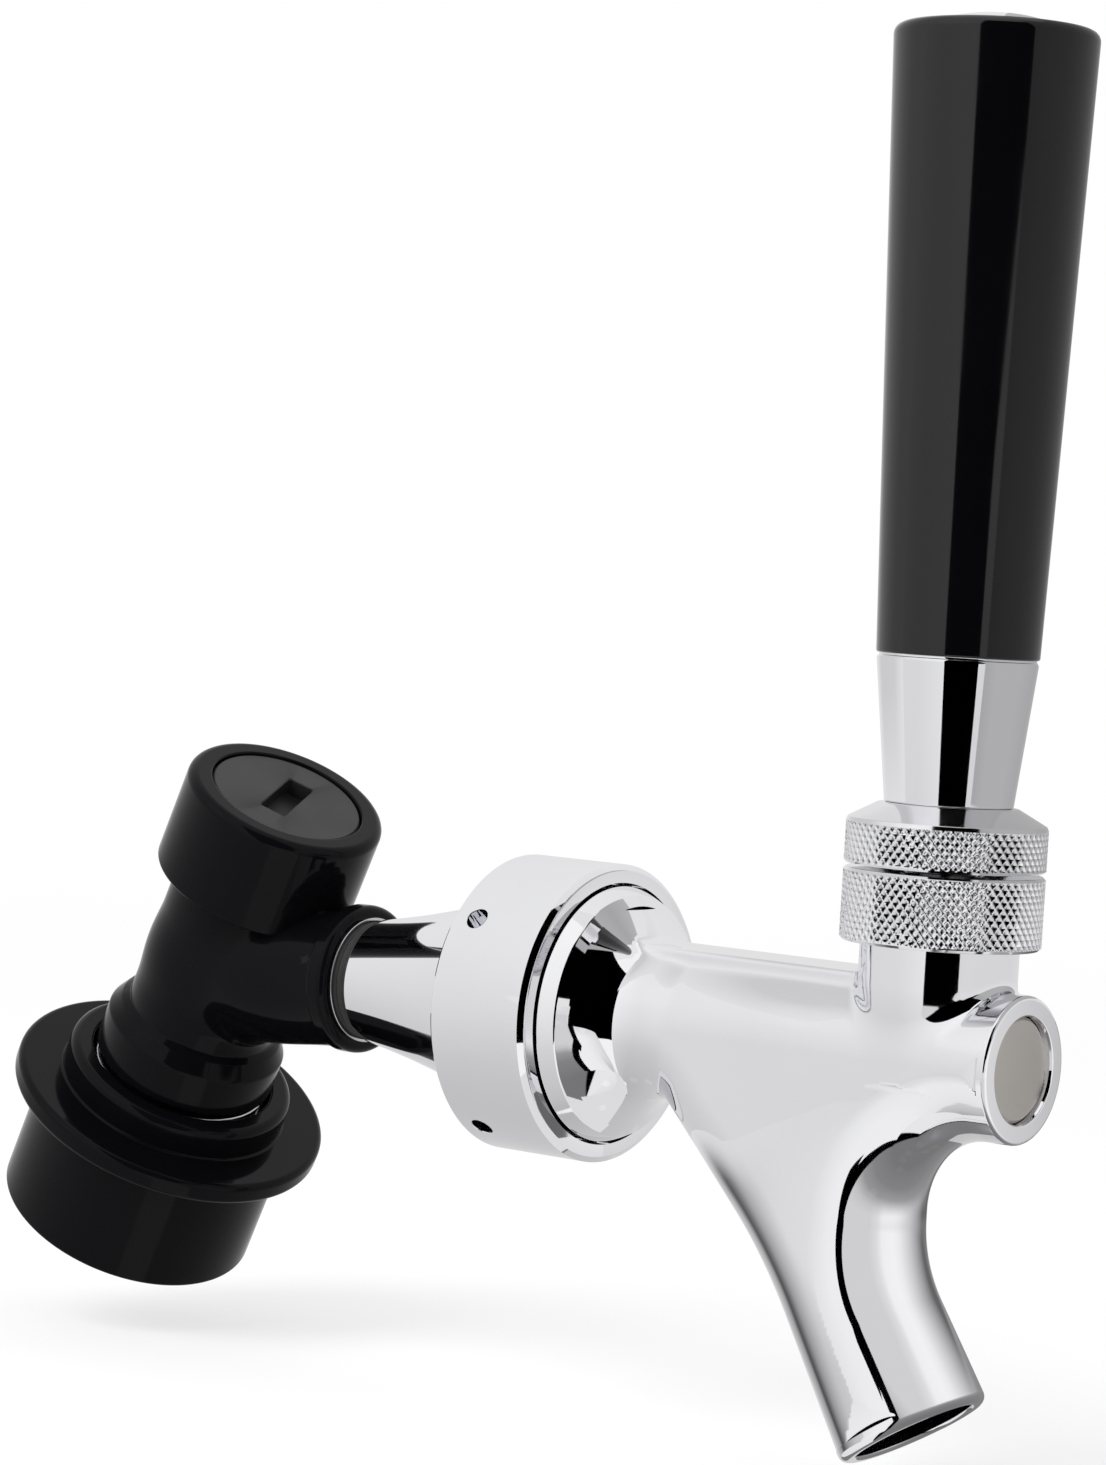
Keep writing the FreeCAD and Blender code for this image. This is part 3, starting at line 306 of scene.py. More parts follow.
def drilledWall(values):
    # the outside of a ring with round blind holes, shaded as a true cylinder
    radius, around = values["radius"], values["around"]
    low, high = values["wall"]
    holeRadius, holeHeight, depth, rim = values["hole"]
    pitch = 2 * math.pi / around
    half = math.ceil((holeRadius + rim + 0.5) / (radius * pitch))
    patch = half * radius * pitch
    rows = [low + (holeHeight - patch - low) * step / 3 for step in range(3)]
    rows += [holeHeight - patch + radius * pitch * step for step in range(2 * half + 1)]
    rows += [holeHeight + patch + (high - holeHeight - patch) * step / 2 for step in (1, 2)]
    firstRow = 3
    centres = [round(turn / 360 * around) for turn in values["holes"]]
    points, faces, normals = [], [], []
    for height in rows:
        for step in range(around):
            angle = step * pitch
            points.append((radius * math.cos(angle), radius * math.sin(angle), height))

    def radial(point):
        length = math.hypot(point[0], point[1])
        return point[0] / length, point[1] / length, 0

    def inPatch(row, step):
        if not firstRow <= row < firstRow + 2 * half:
            return False
        return any((step - centre + half) % around < 2 * half for centre in centres)

    for row in range(len(rows) - 1):
        for step in range(around):
            if inPatch(row, step):
                continue
            face = [row * around + step, row * around + (step + 1) % around,
                    (row + 1) * around + (step + 1) % around, (row + 1) * around + step]
            faces.append(face)
            normals += [radial(points[number]) for number in face]
    for centre in centres:
        border = [(-half, -half + k) for k in range(2 * half)]
        border += [(-half + k, half) for k in range(2 * half)]
        border += [(half, half - k) for k in range(2 * half)]
        border += [(half - k, -half) for k in range(2 * half)]
        loops = [[(firstRow + half + v) * around + (centre + u) % around for u, v in border]]
        middle = centre * pitch
        levels = [(holeRadius + rim, 0, 0.0), (holeRadius + rim * 0.3, rim * 0.35, 0.7),
                  (holeRadius, rim, 1.0), (holeRadius, depth, 1.0)]
        loopNormals = []
        for size, sink, tip in levels:
            ring, ringNormals = [], []
            for u, v in border:
                angle = math.atan2(v, u)
                across, up = size * math.cos(angle), size * math.sin(angle)
                turn = middle + across / radius
                out = radius - sink
                ring.append(len(points))
                points.append((out * math.cos(turn), out * math.sin(turn), holeHeight + up))
                outward = np.array([math.cos(turn), math.sin(turn), 0])
                inward = -np.array([-math.sin(middle) * math.cos(angle),
                                    math.cos(middle) * math.cos(angle), math.sin(angle)])
                normal = outward * (1 - tip) + inward * tip
                ringNormals.append(tuple(normal / np.linalg.norm(normal)))
            loops.append(ring)
            loopNormals.append(ringNormals)
        count = len(border)
        for level in range(len(loops) - 1):
            for step in range(count):
                after = (step + 1) % count
                face = [loops[level][step], loops[level + 1][step],
                        loops[level + 1][after], loops[level][after]]
                faces.append(face)
                if level == 0:
                    normals += [radial(points[number]) for number in face]
                else:
                    normals += [loopNormals[level - 1][step], loopNormals[level][step],
                                loopNormals[level][after], loopNormals[level - 1][after]]
        faces.append(loops[-1][::-1])
        normals += [(math.cos(middle), math.sin(middle), 0)] * count
    return points, faces, normals


def softUnion(a, b, blend):
    mix = np.clip(blend - np.abs(a - b), 0, None) / np.maximum(blend, 1e-9)
    return np.minimum(a, b) - mix * mix * blend / 4


def smoothStep(value, low, high):
    share = np.clip((value - low) / (high - low), 0, 1)
    return share * share * (3 - 2 * share)


def regionRuns(corners):
    # straight and round runs of a closed outline, counter-clockwise, of (u, v, rounding)
    spots = [np.array(c[:2], float) for c in corners]
    count = len(spots)
    ahead = []
    for number in range(count):
        step = spots[(number + 1) % count] - spots[number]
        ahead.append(step / np.linalg.norm(step))
    starts, ends, runs = [None] * count, [None] * count, []
    for number, corner in enumerate(corners):
        before, after = ahead[number - 1], ahead[number]
        turn = before[0] * after[1] - before[1] * after[0]
        angle = math.acos(float(np.clip(before @ after, -1, 1)))
        cut = corner[2] * math.tan(angle / 2)
        ends[number - 1] = spots[number] - before * cut
        starts[number] = spots[number] + after * cut
        if cut > 0:
            side = math.copysign(1, turn)
            centre = ends[number - 1] + np.array([-before[1], before[0]]) * side * corner[2]
            middle = spots[number] - centre
            runs.append(("round", centre, corner[2], middle / np.linalg.norm(middle),
                         math.cos(angle / 2), side))
    for number in range(count):
        runs.append(("straight", starts[number], ends[number]))
    return runs


def regionDistance(runs, u, v):
    # signed distance to the outline, negative inside
    best = np.full(np.shape(u), 1e9)
    for run in runs:
        if run[0] == "straight":
            start, end = run[1], run[2]
            step = end - start
            length = max(np.linalg.norm(step), 1e-9)
            alongX, alongY = step / length
            along = np.clip((u - start[0]) * alongX + (v - start[1]) * alongY, 0, length)
            offX, offY = u - start[0] - along * alongX, v - start[1] - along * alongY
            side = (u - start[0]) * alongY - (v - start[1]) * alongX
            signed = np.copysign(np.hypot(offX, offY), side)
        else:
            centre, radius, middle, reach, side = run[1:]
            offX, offY = u - centre[0], v - centre[1]
            away = np.hypot(offX, offY)
            signed = np.where(offX * middle[0] + offY * middle[1] >= away * reach,
                              side * (away - radius), 1e9)
        best = np.where(np.abs(signed) < np.abs(best), signed, best)
    return best


def castSurface(field, low, high, cell, clips):
    # the zero surface of a field as a smooth quad mesh, trimmed by planes (point, outward)
    axes = [np.arange(low[i], high[i] + cell, cell) for i in range(3)]
    values = field(*np.meshgrid(*axes, indexing="ij"))
    shape = np.array(values.shape) - 1
    total = np.zeros((*shape, 3))
    number = np.zeros(shape)
    for axis in range(3):
        others = [i for i in range(3) if i != axis]
        for first in (0, 1):
            for second in (0, 1):
                offset = [0, 0, 0]
                offset[others[0]], offset[others[1]] = first, second
                near = values[tuple(slice(offset[i], offset[i] + shape[i]) for i in range(3))]
                offset[axis] = 1
                far = values[tuple(slice(offset[i], offset[i] + shape[i]) for i in range(3))]
                offset[axis] = 0
                crosses = (near < 0) != (far < 0)
                share = np.where(crosses, near / np.where(crosses, near - far, 1), 0)
                number += crosses
                for i in range(3):
                    total[..., i] += crosses * offset[i]
                total[..., axis] += share * crosses
    active = number > 0
    index = np.full(shape, -1)
    index[active] = np.arange(active.sum())
    cells = np.argwhere(active)
    points = (cells + total[active] / number[active][:, None]) * cell + np.array(low)
    faces = []
    inside = values < 0
    for axis in range(3):
        b, c = (axis + 1) % 3, (axis + 2) % 3
        near = np.take(inside, range(shape[axis]), axis)
        far = np.take(inside, range(1, shape[axis] + 1), axis)
        spots = np.argwhere(near != far)
        spots = spots[(spots[:, b] > 0) & (spots[:, c] > 0)
                      & (spots[:, b] < shape[b]) & (spots[:, c] < shape[c])]
        quad = []
        for stepB, stepC in ((-1, -1), (0, -1), (0, 0), (-1, 0)):
            corner = spots.copy()
            corner[:, b] += stepB
            corner[:, c] += stepC
            quad.append(index[tuple(corner.T)])
        quad = np.stack(quad, 1)
        outwards = near[tuple(spots.T)]
        quad[~outwards] = quad[~outwards][:, ::-1]
        faces.append(quad)
    faces = np.vstack(faces)
    faces = faces[(faces >= 0).all(1)]

    def slope(p):
        reach = 0.01
        parts = []
        for axis in range(3):
            step = np.zeros(3)
            step[axis] = reach
            parts.append(field(*(p + step).T) - field(*(p - step).T))
        return np.stack(parts, 1) / (2 * reach)

    for _ in range(4):
        lean = slope(points)
        move = (field(*points.T) / np.maximum((lean ** 2).sum(1), 0.05))[:, None] * lean
        length = np.linalg.norm(move, axis=1, keepdims=True)
        points = points - move * np.minimum(1, 0.5 * cell / np.maximum(length, 1e-9))
    work = bmesh.new()
    spots = [work.verts.new(p) for p in points]
    for face in faces:
        work.faces.new([spots[i] for i in face])
    for centre, outward in clips:
        bmesh.ops.bisect_plane(work, geom=work.verts[:] + work.edges[:] + work.faces[:],
                               dist=1e-5, plane_co=centre, plane_no=outward, clear_outer=True)
    work.verts.index_update()
    points = np.array([v.co[:] for v in work.verts])
    faces = [[v.index for v in face.verts] for face in work.faces]
    work.free()
    lean = slope(points)
    lean /= np.maximum(np.linalg.norm(lean, axis=1, keepdims=True), 1e-9)
    normals = [tuple(lean[i]) for face in faces for i in face]
    return points.tolist(), faces, normals


def newGroup(name, inputs, outputs):
    group = bpy.data.node_groups.new(name, "ShaderNodeTree")
    for label, kind, value in inputs:
        socket = group.interface.new_socket(label, in_out="INPUT", socket_type=kind)
        socket.default_value = value
    for label in outputs:
        group.interface.new_socket(label, in_out="OUTPUT", socket_type="NodeSocketFloat")
    return group, group.nodes.new("NodeGroupInput"), group.nodes.new("NodeGroupOutput")


def madeNode(tree, kind, sockets=None, **values):
    node = tree.nodes.new(kind)
    for name, value in values.items():
        setattr(node, name, value)
    for name, value in (sockets or {}).items():
        node.inputs[name].default_value = value
    return node


def wired(tree, *links):
    for start, output, end, socket in links:
        tree.links.new(start.outputs[output], end.inputs[socket])


# wipe marks: broad soft patches and fine hairlines, as a roughness
wipeMarks, wipeIn, wipeOut = newGroup("wipeMarks", [
    ("Scale", "NodeSocketFloat", 60.0), ("Clean", "NodeSocketFloat", 0.04),
    ("Dull", "NodeSocketFloat", 0.09), ("Hairlines", "NodeSocketFloat", 0.02)], ["Roughness"])
spots = madeNode(wipeMarks, "ShaderNodeTexCoord")
patches = madeNode(wipeMarks, "ShaderNodeTexNoise", {"Detail": 4})
patchRange = madeNode(wipeMarks, "ShaderNodeMapRange", {"From Min": 0.42, "From Max": 0.72},
                      interpolation_type="SMOOTHSTEP")
stretch = madeNode(wipeMarks, "ShaderNodeMapping", {"Scale": (900, 900, 60)})
lines = madeNode(wipeMarks, "ShaderNodeTexNoise", {"Detail": 2})
lineCut = madeNode(wipeMarks, "ShaderNodeMapRange", {"From Min": 0.6, "From Max": 0.8})
lineSize = madeNode(wipeMarks, "ShaderNodeMath", operation="MULTIPLY")
bothMarks = madeNode(wipeMarks, "ShaderNodeMath", operation="ADD")
wired(wipeMarks,
      (spots, "Object", patches, "Vector"), (wipeIn, "Scale", patches, "Scale"),
      (patches, "Fac", patchRange, "Value"), (wipeIn, "Clean", patchRange, "To Min"),
      (wipeIn, "Dull", patchRange, "To Max"), (spots, "Object", stretch, "Vector"),
      (stretch, "Vector", lines, "Vector"), (lines, "Fac", lineCut, "Value"),
      (lineCut, "Result", lineSize, 0), (wipeIn, "Hairlines", lineSize, 1),
      (patchRange, "Result", bothMarks, 0), (lineSize, "Value", bothMarks, 1),
      (bothMarks, "Value", wipeOut, "Roughness"))

# fine grain: a small height and a slow shade change, for plastic, seals and turned steel
fineGrain, grainIn, grainOut = newGroup("fineGrain", [
    ("Scale", "NodeSocketFloat", 2500.0), ("Stretch", "NodeSocketVector", (1, 1, 1))],
    ["Height", "Shade"])
grainSpot = madeNode(fineGrain, "ShaderNodeTexCoord")
grainMap = madeNode(fineGrain, "ShaderNodeMapping")
grain = madeNode(fineGrain, "ShaderNodeTexNoise", {"Detail": 3})
slow = madeNode(fineGrain, "ShaderNodeTexNoise", {"Scale": 90})
wired(fineGrain,
      (grainSpot, "Object", grainMap, "Vector"), (grainIn, "Stretch", grainMap, "Scale"),
      (grainMap, "Vector", grain, "Vector"), (grainIn, "Scale", grain, "Scale"),
      (grainSpot, "Object", slow, "Vector"), (grain, "Fac", grainOut, "Height"),
      (slow, "Fac", grainOut, "Shade"))

# edge mask by pointiness: where the surface turns sharply outwards, or inwards with From above
# To; it places rubbed edge wear with painted glints, and painted shade in hollows
wearAndPaintedLightMask, wearLightIn, wearLightOut = newGroup("wearAndPaintedLightMask", [
    ("From", "NodeSocketFloat", 0.52), ("To", "NodeSocketFloat", 0.6)], ["Mask"])
shape = madeNode(wearAndPaintedLightMask, "ShaderNodeNewGeometry")
wearLightRange = madeNode(wearAndPaintedLightMask, "ShaderNodeMapRange", interpolation_type="SMOOTHSTEP")
wired(wearAndPaintedLightMask,
      (shape, "Pointiness", wearLightRange, "Value"), (wearLightIn, "From", wearLightRange, "From Min"),
      (wearLightIn, "To", wearLightRange, "From Max"), (wearLightRange, "Result", wearLightOut, "Mask"))


def finish(name, values):
    material = bpy.data.materials.new(name)
    material.use_nodes = True
    tree = material.node_tree
    shader = tree.nodes["Principled BSDF"]
    shader.inputs["Metallic"].default_value = values.get("metallic", 0)
    if "shine" in values:
        shader.inputs["Specular IOR Level"].default_value = values["shine"]
    clean, dull = values["roughness"]
    plain = values["colour"]
    marks = madeNode(tree, "ShaderNodeGroup", {
        "Clean": clean, "Dull": dull, "Hairlines": values.get("hairlines", 0.02)},
        node_tree=wipeMarks)
    grainNode = madeNode(tree, "ShaderNodeGroup", {
        "Scale": values.get("grainScale", 2500),
        "Stretch": values.get("grainStretch", (1, 1, 1))}, node_tree=fineGrain)
    wearAndGlintMask = madeNode(tree, "ShaderNodeGroup", node_tree=wearAndPaintedLightMask)
    shade = madeNode(tree, "ShaderNodeMix", {
        "A": (*plain, 1), "B": (*values.get("second", plain), 1)}, data_type="RGBA")
    # lighter on sharp outward edges: rubbed wear, and a painted glint there
    edge = madeNode(tree, "ShaderNodeMix", {"B": (*values.get("edge", plain), 1)},
                    data_type="RGBA")
    bump = madeNode(tree, "ShaderNodeBump", {
        "Strength": values.get("bump", 0.05), "Distance": values.get("bumpDepth", 0.00002)})
    wired(tree, (marks, "Roughness", shader, "Roughness"), (grainNode, "Shade", shade, "Factor"),
          (wearAndGlintMask, "Mask", edge, "Factor"), (shade, "Result", edge, "A"),
          (grainNode, "Height", bump, "Height"), (bump, "Normal", shader, "Normal"))
    top = edge
    if "paintedPitShade" in values:  # painted shade: dark where the surface turns inwards
        hollowShadeMask = madeNode(tree, "ShaderNodeGroup", {"From": 0.5, "To": 0.42},
                          node_tree=wearAndPaintedLightMask)
        top = madeNode(tree, "ShaderNodeMix", {"B": (*values["paintedPitShade"], 1)}, data_type="RGBA")
        wired(tree, (hollowShadeMask, "Mask", top, "Factor"), (edge, "Result", top, "A"))
    wired(tree, (top, "Result", shader, "Base Color"))
    return material


# edge colours: rubbed wear and painted glints on sharp edges; pit colour: painted shade in
# hollows
finishes = {
    "polished_chrome": finish("polishedChrome", {
        "metallic": 1, "colour": (0.90, 0.90, 0.925), "second": (0.86, 0.86, 0.885),
        "edge": (0.95, 0.95, 0.96), "roughness": (0.03, 0.055), "hairlines": 0.01,
        "bump": 0.02, "grainScale": 900}),
    # knurled chrome: the edge colour is a painted highlight on the ridges, the pit colour painted
    # shade in the hollows
    "knurled_chrome": finish("knurledChrome", {
        "metallic": 1, "colour": (0.88, 0.88, 0.90), "second": (0.80, 0.80, 0.82),
        "edge": (0.98, 0.98, 0.98), "roughness": (0.05, 0.1), "bump": 0.03,
        "paintedPitShade": (0.27, 0.27, 0.28)}),
    "turned_steel": finish("turnedSteel", {
        "metallic": 1, "colour": (0.45, 0.42, 0.395), "second": (0.37, 0.345, 0.32),
        "edge": (0.58, 0.56, 0.53), "roughness": (0.3, 0.42), "bump": 0.15,
        "grainStretch": (1, 0.05, 1), "bumpDepth": 0.00004}),
    "plain_steel": finish("plainSteel", {
        "metallic": 1, "colour": (0.62, 0.62, 0.63), "second": (0.54, 0.54, 0.55),
        "roughness": (0.15, 0.28)}),
    "bare_brass": finish("bareBrass", {
        "metallic": 1, "colour": (0.72, 0.52, 0.24), "second": (0.62, 0.43, 0.18),
        "roughness": (0.2, 0.34)}),
    "black_plastic": finish("blackPlastic", {
        "colour": (0.0014, 0.0014, 0.0018), "second": (0.002, 0.002, 0.0026),
        "edge": (0.008, 0.008, 0.009), "roughness": (0.07, 0.12), "shine": 0.5,
        "bump": 0.02, "grainScale": 1400}),
    "disconnect_plastic": finish("disconnectPlastic", {
        "colour": (0.002, 0.002, 0.0026), "second": (0.0032, 0.0032, 0.004),
        "edge": (0.009, 0.009, 0.01), "roughness": (0.08, 0.15), "shine": 0.09,
        "bump": 0.03, "grainScale": 1600}),
    "plug_plastic": finish("plugPlastic", {
        "colour": (0.012, 0.0108, 0.0108), "second": (0.017, 0.0155, 0.0155),
        "edge": (0.045, 0.043, 0.043), "roughness": (0.4, 0.52), "shine": 0.2,
        "bump": 0.12, "grainScale": 3200}),
    "acetal": finish("whiteAcetal", {
        "colour": (0.78, 0.77, 0.73), "second": (0.72, 0.71, 0.67), "roughness": (0.35, 0.5)}),
    "seal_rubber": finish("sealRubber", {
        "colour": (0.016, 0.016, 0.016), "second": (0.026, 0.025, 0.024),
        "roughness": (0.5, 0.65), "shine": 0.3, "bump": 0.2, "grainScale": 4200}),
}
print("finishes made:", len(finishes))

for entry in frame["record"]["subparts"]:
    node = frame["nodes"][entry["node"]]
    node.data.materials.clear()
    node.data.materials.append(finishes[entry["material_slot"]])


def finished(piece, values):
    # a piece with its finish, its CAD body and the node that it stands for
    piece.data.materials.append(finishes[values.get("look", values["slot"])])
    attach(piece, values["body"])
    if "node" in values:
        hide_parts(values["node"])


def dressed(name, surface, place, values):
    finished(newPiece(name, surface, place), values)


def turnedPiece(name, values, place):
    dressed(name, turnedSurface(values["outline"], values.get("closed", True),
                                values.get("around", 160)), place, values)


cast = {
    "barrelRadius": 8.95,
    "spoutRadius": 9.6,
    "crotch": 10.2,  # rounding between the boss and the spout
    "spoutFront": 1.0,
    "spoutNeckRounding": 15.5,
    "tip": (-0.75, -45.2),
    "tipLean": 33.4,
    "flankFoot": (20.3, -27.3, 60),  # with their roundings
    "flankTop": (37.4, -8.95, 4),
    "sideEnds": (-18, 56),  # where the side's outline closes, beyond both cuts
    "spoutWidens": (12, 30),  # from the barrel's radius to the spout's
    "bell": [(30, 7.6), (34, 8.62), (36, 8.95), (38.9, 9.62), (41, 10.75), (43.1, 12.3),
             (45.7, 15.5), (47, 17.4)],
    "bellBlend": (1.6, 31, 37),
    "tower": (9.6, -2, 9),  # radius, foot, and where its taper ends
    "towerTaper": 1.1,
    "towerBlend": 1.6,
    "rib": (4.6, 9.8, 0.55, 44.0),  # half width, top, rounding, rear end
    "ribBlend": 0.9,
    "cell": 0.42,
    "room": ((-16.6, -13.6, -50.4), (16.6, 46.6, 15.4)),
    "bossCut": -11.6,
    "bellCut": 44.6,
    "towerCut": 13.62,
    "tipCut": 1.5,
    "bossRim": [(8.95, -11.6), (8.95, -12.8, 0.55), (6.62, -12.8, 0.2), (6.46, -12.4),
                (6.45, 2)],
    "bellRim": [(15.35, 45.6, 0.6), (16.3, 47.6, 0.25), (16.3, 50.6, 0.3), (11.5, 50.6),
                (11.5, 57.5), (8.4, 57.5), (8.4, 49.3), (5.2, 49.3), (5.2, 45.6)],
    "tipRim": [(9.6, 1.5), (9.6, -0.1, 1.1), (7.6, -0.1, 0.5), (7.6, 30), (0, 34)],
    "towerTop": [(9.6, 13.62), (9.6, 13.7), (8.9, 13.7), (8.9, 17), (7.4, 17), (7.4, 9)],
    "slot": "polished_chrome", "body": "fixed", "node": "faucet_body",
}

tipLean = math.radians(cast["tipLean"])
tipUp = np.array([math.sin(tipLean), math.cos(tipLean)])
tipAcross = np.array([tipUp[1], -tipUp[0]]) * cast["spoutRadius"]
tipSpot, flankFoot = np.array(cast["tip"]), np.array(cast["flankFoot"][:2])
pastTip = 4  # the side's outline runs on beyond the tip's cut
frontTip, rearTip = tipSpot - tipUp * pastTip - tipAcross, tipSpot + tipAcross
rearTip = rearTip + pastTip * (rearTip - flankFoot) / np.linalg.norm(rearTip - flankFoot)
neckUp = (cast["spoutFront"] - frontTip[0]) / tipUp[0]
neckHeight = frontTip[1] + neckUp * tipUp[1]
sideRuns = regionRuns([
    (cast["sideEnds"][0], -cast["barrelRadius"], 0),
    (cast["spoutFront"], -cast["barrelRadius"], cast["crotch"]),
    (cast["spoutFront"], neckHeight, cast["spoutNeckRounding"]),
    (*frontTip, 0),
    (*rearTip, 0),
    cast["flankFoot"],
    cast["flankTop"],
    (cast["sideEnds"][1], -cast["barrelRadius"], 0),
    (cast["sideEnds"][1], cast["barrelRadius"], 0),
    (cast["sideEnds"][0], cast["barrelRadius"], 0),
])
bellStart, bellEnd = cast["bell"][0][0], cast["bell"][-1][0]
bellCurve = np.polyfit(*np.array(cast["bell"]).T, 5)
bellSlope = np.polyder(bellCurve)


def castField(x, y, z):
    side = regionDistance(sideRuns, y, z)
    wall = cast["barrelRadius"] + (cast["spoutRadius"] - cast["barrelRadius"]) * smoothStep(
        -z, *cast["spoutWidens"])
    body = np.hypot(x, np.maximum(side + wall, 0)) - wall
    along = np.clip(y, bellStart, bellEnd)
    bell = (np.hypot(x, z) - np.polyval(bellCurve, along)) / np.sqrt(
        1 + np.polyval(bellSlope, along) ** 2)
    bell = np.maximum(bell, bellStart - y)
    blend, low, high = cast["bellBlend"]
    whole = softUnion(body, bell, blend * smoothStep(y, low, high) + 0.01)
    radius, low, high = cast["tower"]
    taper = radius - cast["towerTaper"] * (1 - smoothStep(z, low, high))
    whole = softUnion(whole, np.maximum(np.hypot(x, y) - taper, low - z), cast["towerBlend"])
    halfWidth, top, rounding, rear = cast["rib"]
    offX, offZ = np.abs(x) - halfWidth + rounding, z - top + rounding
    rib = np.hypot(np.maximum(offX, 0), np.maximum(offZ, 0)) + np.minimum(
        np.maximum(offX, offZ), 0) - rounding
    rib = np.maximum(np.maximum(rib, y - rear), np.maximum(-y, -z))
    return softUnion(whole, rib, cast["ribBlend"])


casting = castSurface(castField, *cast["room"], cast["cell"], [
    ((0, cast["bossCut"], 0), (0, -1, 0)),
    ((0, cast["bellCut"], 0), (0, 1, 0)),
    ((0, 0, cast["towerCut"]), (0, 0, 1)),
    ((0, *(tipSpot + tipUp * cast["tipCut"])), (0, -tipUp[0], -tipUp[1])),
])
print("casting surface:", len(casting[1]), "faces")


def openEnd(outline, place):
    # turned end that carries the casting on; its outline is open where the two meet
    corners = [(0, outline[0][1])] + outline
    inner = outline[-1][0] > 0
    if inner:
        corners.append((0, outline[-1][1]))
    segments = outlineSegments(corners, False)
    return placedSurface(turnedRuns(segments[1:-1] if inner else segments[1:]), place)


alongBarrel = turnAbout("X", -90)
bellFoot = (float(np.polyval(bellCurve, cast["bellCut"])), cast["bellCut"])
dressed("castBody", together(
    casting,
    openEnd(cast["bossRim"], alongBarrel),
    openEnd([bellFoot] + cast["bellRim"], alongBarrel),
    openEnd(cast["tipRim"], shifted(0, *tipSpot) @ turnAbout("X", -cast["tipLean"])),
    openEnd(cast["towerTop"], np.eye(4)),
), faucetPlace, cast)
print("faucet body made")

knurls = {"radius": 12.15, "pitch": 1.16, "stretch": 1.27, "depth": 0.38, "edge": 0.3}


def knurledWall(low, high):
    # a band of small diamond hollows in a net of ridges, flat-shaded
    radius, pitch, edge = knurls["radius"], knurls["pitch"], knurls["edge"]
    count = round(2 * math.pi * radius / pitch)
    around = count * 8
    rows = max(8, round((high - low) / (pitch / 8)))
    angles = np.arange(around) * 2 * math.pi / around
    turns = angles * count / (2 * math.pi)

    def groove(phase):
        return np.abs((phase % 1.0) - 0.5) * 2  # 1 in the hollow, 0 on the ridge

    loops = []
    for height in np.linspace(low, high, rows + 1):
        climb = height / (pitch * knurls["stretch"])
        cut = np.minimum(groove(turns + climb), groove(turns - climb))
        fade = min(1, (height - low) / edge, (high - height) / edge)
        wall = radius - knurls["depth"] * (cut ** 1.15) * max(fade, 0)
        loops.append(list(zip(wall * np.cos(angles), wall * np.sin(angles), [height] * around)))
    return strung(loops)


knurledBonnet = {
    "outline": [(8.96, 13.8), (11.8, 13.8, 0.15), (12.15, 14.15), (12.15, 22.25),
                (11.8, 22.6, 0.15), (7.9, 22.6, 0.3), (5.6, 15.3), (7.3, 15.3), (7.3, 17.1),
                (8.96, 17.1)],
    "wall": (14.15, 22.25),
    "slot": "knurled_chrome", "body": "fixed", "node": "bonnet",
}
knurledCollar = {
    "outline": [(11.9, 23.1), (12.15, 23.35), (12.15, 28.1), (11.95, 28.6, 0.2),
                (8.5, 30.5, 0.6), (7.9, 30.6), (4.76, 30.6), (4.76, 27.4, 0, -1.5)],
    "wall": (23.35, 28.1),
    "slot": "knurled_chrome", "body": "lever", "node": "lever_collar",
}
for name, values in (("knurledBonnet", knurledBonnet), ("knurledCollar", knurledCollar)):
    dressed(name, together(turnedSurface(values["outline"], leaveOut=knurls["radius"]),
                           knurledWall(*values["wall"])), faucetPlace, values)
print("knurled rings made")

ferrule = {
    "outline": [(4.76, 30.6), (7.75, 30.6, 0.25), (9.72, 48.0, 0.25, -0.12), (9.45, 48.4),
                (7.0, 48.4), (7.0, 54.4), (4.76, 54.4)],
    "slot": "polished_chrome", "body": "lever", "node": "handle_ferrule",
}
grip = {
    "outline": [(0, 68.4), (6.36, 68.4), (6.36, 54.4), (7.06, 54.4), (7.06, 48.4),
                (9.8, 48.4, 0.3), (12.35, 123.2, 1.4, 0.1), (9.4, 123.2, 0.3), (8.96, 122.9),
                (8.96, 122.2), (0, 122.2)],
    "closed": False, "around": 192,
    "slot": "black_plastic", "body": "lever", "node": "handle_grip",
}
gripCap = {
    "outline": [(0, 122.2), (8.9, 122.2), (8.9, 123.2, 0.25, 0.45), (0, 125.0)],
    "closed": False,
    "slot": "polished_chrome", "body": "lever", "node": "handle_cap",
}
turnedPiece("ferrule", ferrule, faucetPlace)
turnedPiece("grip", grip, faucetPlace)
turnedPiece("gripCap", gripCap, faucetPlace)
print("handle made")

couplingRing = {
    "outline": [(16.7, 47.9), (18.35, 47.9, 0.4), (19.05, 48.6), (19.05, 62.2),
                (18.35, 62.9, 0.4), (14.75, 62.9, 0.2), (14.3, 62.45), (14.3, 53.6),
                (11.6, 53.6), (11.6, 51.2), (16.7, 51.2, 0.3)],
    "radius": 19.05,
    "wall": (48.6, 62.2),
    "around": 192,
    "holes": (37.5, 127.5, 217.5, 307.5),
    "hole": (1.4, 58.9, 4.0, 0.18),  # radius, height, depth, rounded rim
    "slot": "polished_chrome", "body": "coupling", "node": "coupling_nut",
}
dressed("couplingRing", together(
    turnedSurface(couplingRing["outline"], True, couplingRing["around"], couplingRing["radius"]),
    drilledWall(couplingRing)), barrelPlace, couplingRing)

